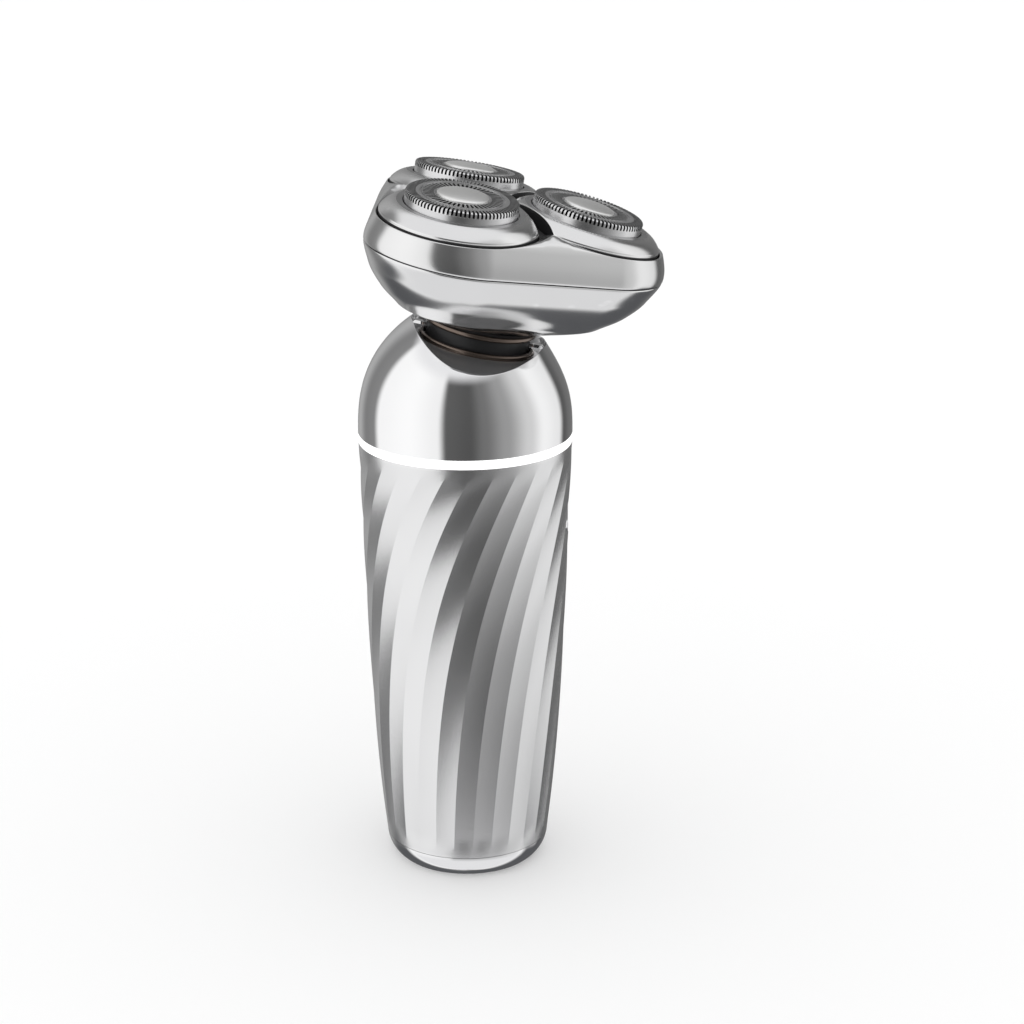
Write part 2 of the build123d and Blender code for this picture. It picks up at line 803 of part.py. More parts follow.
with BuildPart() as gear_tray:
    with BuildSketch(head(tray_height)):
        add(rounded_triangle(tray_corner, tray_lobe - head_wall - 2 * loose_fit))
        Circle(bush_radius + running_fit, mode=Mode.SUBTRACT)
        with Locations(*seats):
            Circle(axle_radius, mode=Mode.SUBTRACT)
    extrude(amount=plate_thickness)
    with BuildSketch(head(tray_height + plate_thickness)):
        with Locations(*standoffs):
            Circle(standoff_radius)
            Circle(screw_radius, mode=Mode.SUBTRACT)
    extrude(amount=cover_height - tray_height - plate_thickness)
    # three feet that stand on the floor of the shell
    with BuildSketch(head(tray_height)):
        with PolarLocations(flare_radius - 1.5, cutter_count, start_angle=cutter_angles[0]):
            Circle(standoff_radius / 2)
    extrude(amount=neck_top + 1.2 - tray_height)
save(gear_tray, "gear_tray")

with BuildPart() as gear_axles:
    with BuildSketch(head(tray_height)):
        with Locations(*seats):
            Circle(axle_radius)
    extrude(amount=plate_thickness + gear_gap + gear_width)
save(gear_axles, "gear_axles")

with BuildPart() as gear_cover:
    spindle_radius = 1.9
    journal_radius = 1.2
    with BuildSketch(head(cover_height)):
        add(rounded_triangle(cover_corner, cover_lobe - head_wall - 2 * loose_fit))
        Circle(journal_radius + running_fit, mode=Mode.SUBTRACT)
        with Locations(*seats):
            Circle(spindle_radius + running_fit, mode=Mode.SUBTRACT)
        with Locations(*standoffs):
            Circle(screw_radius, mode=Mode.SUBTRACT)
    extrude(amount=plate_thickness)
save(gear_cover, "gear_cover")

with BuildPart() as gear_cover_screws:
    for seat in standoffs:
        with BuildSketch(head(cover_height + plate_thickness)):
            with Locations(seat):
                Circle(screw_head)
        extrude(amount=0.8)
        with BuildSketch(head(cover_height + plate_thickness)):
            with Locations(seat):
                Circle(screw_radius)
        extrude(amount=-plate_thickness - 3)
save(gear_cover_screws, "gear_cover_screws")


def gear_profile(teeth, phase):
    """Spur gear face: root disc and teeth with involute flanks, first tooth at the phase angle."""
    pitch = gear_module * teeth / 2
    base = pitch * cos(radians(20))
    root = pitch - 1.25 * gear_module
    tip = pitch + gear_module * 0.95
    involute = tan(radians(20)) - radians(20)
    half_tooth = pi / (2 * teeth) - gear_backlash / (2 * pitch)
    flank = []
    for radius in (max(root, base), pitch, tip):
        roll = sqrt(max(radius**2 / base**2 - 1, 0))
        flank.append((radius, half_tooth + involute - (roll - atan(roll))))
    flank.insert(0, (root - 0.1, flank[0][1]))
    edge = [(r * cos(a), r * sin(a)) for r, a in flank]
    outline = edge + [(x, -y) for x, y in reversed(edge)]
    with BuildSketch() as profile:
        Circle(root)
        with PolarLocations(0, teeth, start_angle=phase):
            Polygon(*outline, align=None)
    return profile.sketch


with BuildPart() as sun_gear:
    cup_bottom = pivot_height - 1.4
    cup_top = pivot_height + 3.2
    with BuildSketch(head(cup_bottom)):
        Circle(cup_outer)
    extrude(amount=cup_top - cup_bottom)
    with BuildSketch(head(cup_bottom)):
        Circle(cup_inner)
    extrude(amount=cup_top - cup_bottom - 1, mode=Mode.SUBTRACT)
    # slots that the drive pin runs in
    with BuildSketch(Plane(head_point(0, 0, pivot_height), x_dir=head_plane.x_dir, z_dir=head_plane.z_dir)):
        Rectangle(2 * cup_outer + 1, 2 * (drive_pin_radius + moving_gap))
    extrude(amount=drive_pin_radius + 3 * moving_gap, both=True, mode=Mode.SUBTRACT)
    with BuildSketch(head(cup_bottom)):
        Rectangle(2 * cup_outer + 1, 2 * (drive_pin_radius + moving_gap))
    extrude(amount=pivot_height - cup_bottom, mode=Mode.SUBTRACT)
    with BuildSketch(head(cup_top)):
        Circle(bush_radius)
    extrude(amount=gear_bottom - cup_top)
    with BuildSketch(head(gear_bottom)):
        add(gear_profile(sun_teeth, 0))
    extrude(amount=gear_width)
    with BuildSketch(head(gear_bottom + gear_width)):
        Circle(journal_radius)
    extrude(amount=gear_gap + plate_thickness - loose_fit)
save(sun_gear, "sun_gear")

tip_height = petal_height - 1.2
tip_across = 2.5
tip_length = 1.5
shoulder_height = tip_height - 2.4
for number, angle in enumerate(cutter_angles, start=1):
    # the sun's teeth stand at whole steps from 0, and the drive gear's gap meets them on the centre line
    sun_phase = angle * sun_teeth / 360 - floor(angle * sun_teeth / 360)
    drive_phase = 180 - (0.5 - sun_phase) * 360 / drive_teeth
    seat = head_point(pitch_radius * cos(radians(angle)), pitch_radius * sin(radians(angle)), 0)
    gear_plane = Plane(seat, x_dir=head_direction(angle), z_dir=head_plane.z_dir)
    with BuildPart() as drive_gear:
        with BuildSketch(gear_plane.offset(gear_bottom)):
            add(gear_profile(drive_teeth, drive_phase))
            Circle(axle_radius + running_fit, mode=Mode.SUBTRACT)
        extrude(amount=gear_width)
        # three round windows lighten the web
        with BuildSketch(gear_plane.offset(gear_bottom)):
            with PolarLocations(6.2, 3):
                Circle(2.2)
        extrude(amount=gear_width, mode=Mode.SUBTRACT)
    save(drive_gear, f"drive_gear_{number}")

    with BuildPart() as drive_spindle:
        with BuildSketch(gear_plane.offset(gear_bottom + gear_width)):
            Circle(spindle_radius)
        extrude(amount=shoulder_height - gear_bottom - gear_width)
        with BuildSketch(gear_plane.offset(shoulder_height)):
            Circle(tip_across / 2 - moving_gap)
        extrude(amount=tip_height - shoulder_height)
        with BuildSketch(gear_plane.offset(tip_height - tip_length / 2)):
            RegularPolygon(radius=tip_across / 2, side_count=6, major_radius=False)
        extrude(amount=tip_length)
    save(drive_spindle, f"drive_spindle_{number}")

# ---------------------------------------------------------------- cutter frame
def dome_solid(height, lowest):
    """Everything under the head's shallow crown, whose top falls off with the square of the radius."""
    reach = head_reach + 2
    with BuildPart() as under:
        with BuildSketch(neck_section):
            with BuildLine():
                Bezier((0, height), (reach / 2, height), (reach, height - dome_curve * reach**2))
                Polyline(
                    (reach, height - dome_curve * reach**2),
                    (reach, lowest),
                    (0, lowest),
                    (0, height),
                )
            make_face()
        revolve(axis=head_axis)
    return under.part


pocket_floor = -7.0
with BuildPart() as head_frame:
    add(upper_body(0))
    add(dome_solid(dome_height, seam_height - 1), mode=Mode.INTERSECT)
    frame_wall = 1.4
    inside_height = 3.2
    with BuildSketch(head(seam_height)):
        add(rounded_triangle(head_corner, head_lobe - frame_wall))
    extrude(amount=inside_height, mode=Mode.SUBTRACT)
    with BuildSketch(head(seam_height)):
        Circle(crown_radius)
    extrude(amount=2 * dome_height, mode=Mode.SUBTRACT)
    for angle in cutter_angles:
        with BuildSketch(petal_plane(angle).offset(pocket_floor)):
            Circle(petal_radius + pocket_gap)
        extrude(amount=-2 * pocket_floor, mode=Mode.SUBTRACT)
save(head_frame, "head_frame")

carrier_bottom = seam_height + 1.4
post_side = 3.2
post_width = 1.4
hinge_out = petal_radius - 2.6
hinge_height = carrier_bottom + plate_thickness + 1.3
hinge_pin_radius = 0.4


def hinge_point(angle):
    """Middle of a petal's hinge pin, under the outer side of the petal."""
    outward = head_direction(angle) * (pitch_radius + hinge_out)
    return head_plane.origin + outward + head_plane.z_dir * hinge_height


def hinge_plane(angle):
    """Plane square to a petal's hinge pin: local x is outward, local y runs up the head's axis."""
    return section_plane(hinge_point(angle), head_direction(angle), head_plane.z_dir)


with BuildPart() as hinge_pins:
    for angle in cutter_angles:
        with BuildSketch(hinge_plane(angle)):
            Circle(hinge_pin_radius)
        extrude(amount=post_side + post_width / 2, both=True)
save(hinge_pins, "hinge_pins")

with BuildPart() as cutter_carrier:
    carrier_lobe = head_lobe - frame_wall - loose_fit
    with BuildSketch(head(carrier_bottom)):
        add(rounded_triangle(head_corner, carrier_lobe))
        with Locations(*seats):
            Circle(8, mode=Mode.SUBTRACT)
    extrude(amount=plate_thickness)
    # the Y-shaped spider that shows between the petals
    spider_reach = crown_radius - 2 * loose_fit
    with BuildSketch(head(carrier_bottom)):
        for angle in valley_angles:
            far = (crown_radius + 1) * tan(radians(gap_flare))
            near = gap_width / 2 - 2 * loose_fit - running_fit
            with Locations(Rotation(0, 0, angle)):
                Polygon(
                    (0, near - 0.1),
                    (spider_reach, far - 0.1),
                    (spider_reach, -far + 0.1),
                    (0, -near + 0.1),
                    align=None,
                )
    extrude(amount=dome_height - carrier_bottom)
    add(dome_solid(dome_height - 2.2, carrier_bottom - 1), mode=Mode.INTERSECT)
    # two posts for each petal's hinge pin
    for angle in cutter_angles:
        post_plane = Plane(head_plane.origin, x_dir=head_direction(angle), z_dir=head_plane.z_dir)
        with BuildSketch(post_plane.offset(carrier_bottom + plate_thickness)):
            with Locations(
                (pitch_radius + hinge_out, post_side),
                (pitch_radius + hinge_out, -post_side),
            ):
                Rectangle(post_width, post_width)
        extrude(amount=hinge_height + 0.8 - carrier_bottom - plate_thickness)
    add(hinge_pins.part, mode=Mode.SUBTRACT)
save(cutter_carrier, "cutter_carrier")

# ---------------------------------------------------------------- petals and cutters
ring_edge = cutter_radius + 0.95
cup_depth = 3.0
flange_radius = ring_edge + 0.65
flange_height = -1.35
lug_half = 2.2


def petal_wedge(angle):
    """Space between the two neighbouring gaps, which open outwards."""
    plane = Plane(head_plane.origin, x_dir=head_direction(angle), z_dir=head_plane.z_dir)
    reach = 3 * head_reach
    start = gap_width / 2 / sin(radians(60))
    spread = reach * tan(radians(60 - gap_flare))
    with BuildPart() as wedge:
        with BuildSketch(plane):
            Polygon((start, 0), (start + reach, spread), (start + reach, -spread), align=None)
        extrude(amount=2 * dome_height)
    return wedge.part


for number, angle in enumerate(cutter_angles, start=1):
    plane = petal_plane(angle)

    with BuildPart() as petal:
        # flat top ring, sloping skirt and side wall
        with BuildSketch(petal_section(angle)):
            hole = cutter_radius + moving_gap
            with BuildLine():
                Line((hole, 0), (ring_edge, 0))
                ThreePointArc((ring_edge, 0), (petal_radius - 1.2, -1.0), (petal_radius, -2.4))
                Polyline(
                    (petal_radius, -2.4),
                    (petal_radius, -petal_skirt),
                    (petal_radius - petal_wall, -petal_skirt),
                    (petal_radius - petal_wall, -2.4),
                    (ring_edge + 0.4, -petal_wall - 0.4),
                    (hole, -petal_wall - 0.4),
                    (hole, 0),
                )
            make_face()
        revolve(axis=petal_axis(angle))
        add(petal_wedge(angle), mode=Mode.INTERSECT)
        # hinge lug under the outer side
        with BuildSketch(hinge_plane(angle)):
            with Locations((0, 1.1)):
                Rectangle(1.6, 4.0)
        extrude(amount=lug_half, both=True)
        with BuildSketch(plane):
            Circle(hole)
        extrude(amount=2 * cutter_rise, both=True, mode=Mode.SUBTRACT)
        with BuildSketch(hinge_plane(angle)):
            Circle(hinge_pin_radius + running_fit)
        extrude(amount=2 * lug_half, both=True, mode=Mode.SUBTRACT)
    save(petal, f"petal_{number}")

    with BuildPart() as outer_cutter:
        with BuildSketch(petal_section(angle)):
            inside = cutter_radius - cutter_wall
            track_top = cutter_rise
            with BuildLine():
                Polyline(
                    (cap_radius - 0.6, track_top),
                    (track_split - groove_width / 2, track_top),
                    (track_split - groove_width / 2, track_top - 0.4),
                    (track_split + groove_width / 2, track_top - 0.4),
                    (track_split + groove_width / 2, track_top),
                    (cutter_radius - 0.6, track_top),
                )
                JernArc((cutter_radius - 0.6, track_top), (1, 0), 0.6, -90)
                Polyline(
                    (cutter_radius, track_top - 0.6),
                    (cutter_radius, flange_height),
                    (flange_radius, flange_height),
                    (flange_radius, flange_height - 0.7),
                    (inside, flange_height - 0.7),
                    (inside, track_top - cutter_wall),
                    (track_split + 1, track_top - cutter_wall),
                    (track_split + 1, track_top - cutter_wall - 0.4),
                    (track_split - 1, track_top - cutter_wall - 0.4),
                    (track_split - 1, track_top - cutter_wall),
                    (cap_radius - 0.6, track_top - cutter_wall),
                    (cap_radius - 0.6, track_top),
                )
            make_face()
        revolve(axis=petal_axis(angle))
    save(outer_cutter, f"outer_cutter_{number}")

    with BuildPart() as cutter_cap:
        with BuildSketch(plane.offset(track_top)):
            Circle(cap_radius)
        extrude(amount=0.5)
        fillet(cutter_cap.faces().sort_by(petal_axis(angle))[-1].edges(), 0.35)
        with BuildSketch(plane.offset(track_top - cutter_wall)):
            Circle(cap_radius - 0.6)
        extrude(amount=cutter_wall)
    save(cutter_cap, f"cutter_cap_{number}")

    with BuildPart() as inner_cutter:
        blade_top = track_top - cutter_wall - 0.15
        web_top = blade_top - 1.1
        hub_radius = 3.4
        hub_bottom = -2.4
        with BuildSketch(plane.offset(hub_bottom)):
            Circle(hub_radius)
        extrude(amount=web_top - hub_bottom)
        with BuildSketch(plane.offset(web_top - 0.6)):
            Circle(inside - 1.0)
        extrude(amount=0.6)
        # two rings of lifters and blades, under the two slotted tracks
        with BuildSketch(plane.offset(web_top)):
            with PolarLocations((cap_radius + track_split - 1) / 2, 12):
                Rectangle(track_split - 1 - cap_radius - 0.3, 0.6)
        extrude(amount=blade_top - web_top)
        with BuildSketch(plane.offset(web_top - 0.6)):
            with PolarLocations((track_split + 1.2 + inside - moving_gap) / 2, 12, start_angle=15):
                Rectangle(inside - moving_gap - track_split - 1.2, 0.6)
        extrude(amount=blade_top - web_top + 0.6)
        with BuildSketch(plane.offset(hub_bottom)):
            RegularPolygon(radius=tip_across / 2 + 1.5 * moving_gap, side_count=6, major_radius=False)
        extrude(amount=-hub_bottom + 0.35, mode=Mode.SUBTRACT)
    save(inner_cutter, f"inner_cutter_{number}")

with BuildPart() as petal_springs:
    # one bent leaf under each petal's inner side, standing on the carrier
    for angle in cutter_angles:
        leaf_plane = section_plane(head_plane.origin, head_direction(angle), head_plane.z_dir)
        leaf_bottom = carrier_bottom + plate_thickness
        with BuildSketch(leaf_plane):
            with BuildLine():
                Polyline((6.5, leaf_bottom + 0.2), (3.6, leaf_bottom + 0.2), (5.6, petal_height - 3.3))
            trace(line_width=0.4)
        extrude(amount=1, both=True)
save(petal_springs, "petal_springs")
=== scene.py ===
import json
import math

import bmesh
import bpy
from mathutils import Matrix, Vector


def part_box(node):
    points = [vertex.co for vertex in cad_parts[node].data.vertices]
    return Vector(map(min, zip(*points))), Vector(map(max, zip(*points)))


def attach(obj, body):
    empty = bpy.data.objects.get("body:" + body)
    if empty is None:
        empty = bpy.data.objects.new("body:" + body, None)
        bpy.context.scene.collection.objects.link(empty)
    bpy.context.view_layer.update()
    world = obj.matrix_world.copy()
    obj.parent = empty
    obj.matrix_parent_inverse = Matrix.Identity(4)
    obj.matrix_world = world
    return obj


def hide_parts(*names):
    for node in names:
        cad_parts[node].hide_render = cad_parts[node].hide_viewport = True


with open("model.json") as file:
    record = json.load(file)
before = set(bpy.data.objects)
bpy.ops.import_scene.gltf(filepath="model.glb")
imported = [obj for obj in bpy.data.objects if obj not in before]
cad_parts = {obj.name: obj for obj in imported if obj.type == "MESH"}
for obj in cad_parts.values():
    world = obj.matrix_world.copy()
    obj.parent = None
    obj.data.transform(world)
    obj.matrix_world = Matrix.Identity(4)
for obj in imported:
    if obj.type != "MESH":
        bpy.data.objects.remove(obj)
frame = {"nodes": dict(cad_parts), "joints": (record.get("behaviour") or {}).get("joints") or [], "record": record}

print("frame loaded")
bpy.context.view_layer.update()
mm = 0.001
weldDistance = 2e-7  # vertices closer than this, in metres, are one
slotOf = {part["node"]: part["material_slot"] for part in frame["record"]["subparts"]}
joints = {joint["name"]: joint for joint in frame["joints"]}

# the head's own axes, read from the joints
headOrigin = Vector(joints["motor_spin"]["pos_m"])
headUp = Vector(joints["motor_spin"]["axis"]).normalized()
headBack = Vector(joints["head_roll"]["axis"]).normalized()
headSide = headBack.cross(headUp)


def headPoint(side, back, up):
    return headOrigin + (headSide * side + headBack * back + headUp * up) * mm


def polar(radius, angle):
    return radius * math.cos(angle), radius * math.sin(angle)


def makeObject(name, mesh):
    piece = bpy.data.objects.new(name, mesh)
    bpy.context.scene.collection.objects.link(piece)
    return piece


def tidyMesh(mesh, creaseAngle, merge=weldDistance):
    # joins loose corners, turns the faces outwards and marks the sharp edges
    shape = bmesh.new()
    shape.from_mesh(mesh)
    bmesh.ops.remove_doubles(shape, verts=shape.verts, dist=merge)
    bmesh.ops.recalc_face_normals(shape, faces=shape.faces)
    shape.to_mesh(mesh)
    shape.free()
    mesh.shade_smooth()
    mesh.set_sharp_from_angle(angle=math.radians(creaseAngle))


def meshFrom(name, points, faces, creaseAngle=32):
    mesh = bpy.data.meshes.new(name)
    mesh.from_pydata(points, [], faces)
    tidyMesh(mesh, creaseAngle)
    return mesh


def ringsMesh(name, rings, creaseAngle=32):
    # rings of equal count, joined one to the next, each ring closed on itself
    count = len(rings[0])
    points = [point for ring in rings for point in ring]
    faces = []
    for row in range(len(rings) - 1):
        for column in range(count):
            following = (column + 1) % count
            faces.append((row * count + column, row * count + following,
                          (row + 1) * count + following, (row + 1) * count + column))
    return makeObject(name, meshFrom(name, points, faces, creaseAngle))


def acrossColumns(columns):
    # the same points the other way: one ring for each row of the columns
    return [[column[row] for column in columns] for row in range(len(columns[0]))]


def bend(before, corner, after, steps=5):
    # points of a rounded corner
    shares = [step / steps for step in range(steps + 1)]
    return [before * (1 - s) ** 2 + corner * 2 * s * (1 - s) + after * s ** 2 for s in shares]


def softened(profile, radius, steps=4):
    # rounds each corner of an open or closed outline of (r, h) points
    closed = profile[0] == profile[-1]
    corners = profile[:-1] if closed else profile
    outline = []
    for index, corner in enumerate(corners):
        if not closed and index in (0, len(corners) - 1):
            outline.append(corner)
            continue
        here = Vector(corner)
        before = Vector(corners[index - 1]) - here
        after = Vector(corners[(index + 1) % len(corners)]) - here
        reach = min(radius, before.length * 0.45, after.length * 0.45)
        start = here + before.normalized() * reach
        end = here + after.normalized() * reach
        outline += [(spot.x, spot.y) for spot in bend(start, here, end, steps)]
    if closed:
        outline.append(outline[0])
    return outline


def turned(name, profile, origin, outward, axis, segments=128, creaseAngle=32):
    # a profile of (r, h) in millimetres spun round an axis
    across = axis.cross(outward)
    rings = []
    for r, h in profile:
        ring = []
        for step in range(segments):
            x, y = polar(r, 2 * math.pi * step / segments)
            ring.append(origin + (outward * x + across * y + axis * h) * mm)
        rings.append(ring)
    return ringsMesh(name, rings, creaseAngle)


def claim(piece, body, node, material):
    piece.data.materials.clear()
    piece.data.materials.append(material)
    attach(piece, body)
    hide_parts(node)


# shader groups
def addSocket(tree, name, direction, kind, default=None):
    socket = tree.interface.new_socket(name=name, in_out=direction, socket_type=kind)
    if default is not None:
        socket.default_value = default
    return socket


def buildGrainGroup():
    # fine blasted grain with a slow drift, as height and as a roughness mask
    tree = bpy.data.node_groups.new("fineGrain", "ShaderNodeTree")
    addSocket(tree, "Grain Scale", "INPUT", "NodeSocketFloat", 3000.0)
    addSocket(tree, "Drift Scale", "INPUT", "NodeSocketFloat", 60.0)
    addSocket(tree, "Height", "OUTPUT", "NodeSocketFloat")
    addSocket(tree, "Drift", "OUTPUT", "NodeSocketFloat")
    start = tree.nodes.new("NodeGroupInput")
    end = tree.nodes.new("NodeGroupOutput")
    place = tree.nodes.new("ShaderNodeTexCoord")
    grain = tree.nodes.new("ShaderNodeTexNoise")
    grain.inputs["Detail"].default_value = 3
    grain.inputs["Roughness"].default_value = 0.6
    drift = tree.nodes.new("ShaderNodeTexNoise")
    drift.inputs["Detail"].default_value = 2
    tree.links.new(place.outputs["Object"], grain.inputs["Vector"])
    tree.links.new(place.outputs["Object"], drift.inputs["Vector"])
    tree.links.new(start.outputs["Grain Scale"], grain.inputs["Scale"])
    tree.links.new(start.outputs["Drift Scale"], drift.inputs["Scale"])
    tree.links.new(grain.outputs["Fac"], end.inputs["Height"])
    tree.links.new(drift.outputs["Fac"], end.inputs["Drift"])
    return tree


def buildWearGroup():
    # mask of the raised edges, broken up by noise
    tree = bpy.data.node_groups.new("edgeWear", "ShaderNodeTree")
    addSocket(tree, "Start", "INPUT", "NodeSocketFloat", 0.52)
    addSocket(tree, "Full", "INPUT", "NodeSocketFloat", 0.62)
    addSocket(tree, "Mask", "OUTPUT", "NodeSocketFloat")
    start = tree.nodes.new("NodeGroupInput")
    end = tree.nodes.new("NodeGroupOutput")
    place = tree.nodes.new("ShaderNodeTexCoord")
    shape = tree.nodes.new("ShaderNodeNewGeometry")
    breakUp = tree.nodes.new("ShaderNodeTexNoise")
    breakUp.inputs["Scale"].default_value = 400
    spread = tree.nodes.new("ShaderNodeMapRange")
    spread.inputs["To Max"].default_value = 1
    mix = tree.nodes.new("ShaderNodeMath")
    mix.operation = "MULTIPLY"
    tree.links.new(place.outputs["Object"], breakUp.inputs["Vector"])
    tree.links.new(shape.outputs["Pointiness"], spread.inputs["Value"])
    tree.links.new(start.outputs["Start"], spread.inputs["From Min"])
    tree.links.new(start.outputs["Full"], spread.inputs["From Max"])
    tree.links.new(spread.outputs["Result"], mix.inputs[0])
    tree.links.new(breakUp.outputs["Fac"], mix.inputs[1])
    tree.links.new(mix.outputs[0], end.inputs["Mask"])
    return tree


grainGroup = buildGrainGroup()
wearGroup = buildWearGroup()


def makeMaterial(name, look):
    # one finish: base colour that drifts, grain in the bump, wear on raised edges
    material = bpy.data.materials.new(name)
    material.use_nodes = True
    nodes, links = material.node_tree.nodes, material.node_tree.links
    shader = nodes["Principled BSDF"]
    shader.inputs["Metallic"].default_value = look.get("metallic", 0.0)
    shader.inputs["IOR"].default_value = look.get("ior", 1.5)
    shader.inputs["Coat Weight"].default_value = look.get("coat", 0.0)
    shader.inputs["Coat Roughness"].default_value = look.get("coatRoughness", 0.05)
    shader.inputs["Anisotropic"].default_value = look.get("anisotropic", 0.0)
    grain = nodes.new("ShaderNodeGroup")
    grain.node_tree = grainGroup
    grain.inputs["Grain Scale"].default_value = look.get("grainScale", 3000)
    grain.inputs["Drift Scale"].default_value = look.get("driftScale", 60)
    wear = nodes.new("ShaderNodeGroup")
    wear.node_tree = wearGroup
    tint = nodes.new("ShaderNodeMix")
    tint.data_type = "RGBA"
    tint.inputs["A"].default_value = (*look["dark"], 1)
    tint.inputs["B"].default_value = (*look["light"], 1)
    links.new(grain.outputs["Drift"], tint.inputs["Factor"])
    worn = nodes.new("ShaderNodeMix")
    worn.data_type = "RGBA"
    worn.inputs["B"].default_value = (*look.get("worn", look["light"]), 1)
    links.new(wear.outputs["Mask"], worn.inputs["Factor"])
    links.new(tint.outputs["Result"], worn.inputs["A"])
    links.new(worn.outputs["Result"], shader.inputs["Base Color"])
    rough = nodes.new("ShaderNodeMapRange")
    rough.inputs["To Min"].default_value = look["smooth"]
    rough.inputs["To Max"].default_value = look["rough"]
    links.new(grain.outputs["Drift"], rough.inputs["Value"])
    links.new(rough.outputs["Result"], shader.inputs["Roughness"])
    bump = nodes.new("ShaderNodeBump")
    bump.inputs["Strength"].default_value = look.get("bump", 0.05)
    bump.inputs["Distance"].default_value = 0.0001
    links.new(grain.outputs["Height"], bump.inputs["Height"])
    links.new(bump.outputs["Normal"], shader.inputs["Normal"])
    if "glow" in look:
        shader.inputs["Emission Color"].default_value = (1, 1, 1, 1)
        shader.inputs["Emission Strength"].default_value = look["glow"]
    return material


finishes = {
    "satin_metal": dict(metallic=1, dark=(0.76, 0.76, 0.765), light=(0.84, 0.84, 0.845), worn=(0.95, 0.95, 0.95),
                        smooth=0.20, rough=0.27, grainScale=5200, driftScale=45, bump=0.16),
    "polished_chrome": dict(metallic=1, dark=(0.90, 0.90, 0.905), light=(0.94, 0.94, 0.945), smooth=0.05, rough=0.09,
                            grainScale=1500, driftScale=70, bump=0.01),
    "satin_chrome": dict(metallic=1, dark=(0.80, 0.80, 0.80), light=(0.87, 0.87, 0.87), worn=(0.95, 0.95, 0.95),
                         smooth=0.15, rough=0.20, grainScale=4200, driftScale=50, bump=0.04),
    "dark_gunmetal": dict(metallic=0.6, dark=(0.20, 0.20, 0.205), light=(0.27, 0.27, 0.275), smooth=0.27, rough=0.36,
                          coat=0.6, grainScale=2500, bump=0.02),
    # glossy black with a bronze tint; the bronze tint is painted reflection
    "bronze_black": dict(metallic=0.9, dark=(0.14, 0.108, 0.09), light=(0.22, 0.17, 0.14), smooth=0.18, rough=0.30,
                         coat=0.4, grainScale=2500, bump=0.03),
    "black_plastic": dict(dark=(0.008, 0.008, 0.009), light=(0.014, 0.014, 0.015), smooth=0.42, rough=0.55,
                          grainScale=3500, bump=0.15),
    "light_diffuser": dict(dark=(0.92, 0.92, 0.92), light=(0.97, 0.97, 0.97), smooth=0.30, rough=0.40,
                           grainScale=3000, bump=0.02, glow=0.6),
    "blade_steel": dict(metallic=1, dark=(0.66, 0.66, 0.665), light=(0.76, 0.76, 0.765), worn=(0.92, 0.92, 0.92),
                        smooth=0.20, rough=0.30, grainScale=6000, driftScale=180, bump=0.05),
    "steel": dict(metallic=1, dark=(0.42, 0.42, 0.43), light=(0.55, 0.55, 0.56), smooth=0.28, rough=0.40,
                  grainScale=5000, bump=0.08),
    "gear_plastic": dict(dark=(0.78, 0.78, 0.74), light=(0.86, 0.86, 0.83), smooth=0.40, rough=0.52, bump=0.08),
    "frame_plastic": dict(dark=(0.006, 0.006, 0.006), light=(0.011, 0.011, 0.011), smooth=0.45, rough=0.6, bump=0.2),
    "seal_rubber": dict(dark=(0.012, 0.012, 0.012), light=(0.02, 0.02, 0.02), smooth=0.65, rough=0.8, bump=0.25),
    "circuit_green": dict(dark=(0.01, 0.10, 0.045), light=(0.015, 0.15, 0.06), smooth=0.25, rough=0.35, bump=0.1),
    "battery_wrap": dict(dark=(0.05, 0.10, 0.24), light=(0.07, 0.14, 0.30), smooth=0.25, rough=0.38, bump=0.04),
    "contact_brass": dict(metallic=1, dark=(0.62, 0.45, 0.20), light=(0.75, 0.57, 0.28), smooth=0.22, rough=0.34),
    "cap_satin": dict(metallic=1, dark=(0.90, 0.90, 0.89), light=(0.97, 0.97, 0.96), smooth=0.36, rough=0.44,
                      grainScale=5000, driftScale=90, bump=0.05),
    # near-black steel for the inner cutters and the slot walls: painted shade inside the foil
    "inner_blade_painted_shade": dict(metallic=0.6, dark=(0.010, 0.010, 0.011), light=(0.022, 0.022, 0.024),
                        smooth=0.42, rough=0.55, grainScale=5000, driftScale=200, bump=0.06),
    # darker copy of the steel for the petals' flat ring: painted shade
    "ring_steel_painted_shade": dict(metallic=1, dark=(0.46, 0.46, 0.465), light=(0.56, 0.56, 0.565),
                       smooth=0.24, rough=0.34, grainScale=6000, driftScale=180, bump=0.05),
}
materials = {name: makeMaterial(name, look) for name, look in finishes.items()}
for node, piece in frame["nodes"].items():
    piece.data.materials.clear()
    # the inner cutters take the near-black finish, painted shade seen through the slots
    piece.data.materials.append(materials["inner_blade_painted_shade" if node.startswith("inner_cutter") else slotOf[node]])
print("materials ready")


# geometry nodes helpers
def newGeometryTree(name, inputs):
    tree = bpy.data.node_groups.new(name, "GeometryNodeTree")
    tree.is_modifier = True
    addSocket(tree, "Geometry", "INPUT", "NodeSocketGeometry")
    for label, (kind, default) in inputs.items():
        addSocket(tree, label, "INPUT", kind, default)
    addSocket(tree, "Geometry", "OUTPUT", "NodeSocketGeometry")
    return tree


def feed(tree, socket, value):
    if isinstance(value, bpy.types.NodeSocket):
        tree.links.new(value, socket)
    else:
        socket.default_value = value


def calc(tree, operation, *values):
    node = tree.nodes.new("ShaderNodeMath")
    node.operation = operation
    for socket, value in zip(node.inputs, values):
        feed(tree, socket, value)
    return node.outputs[0]


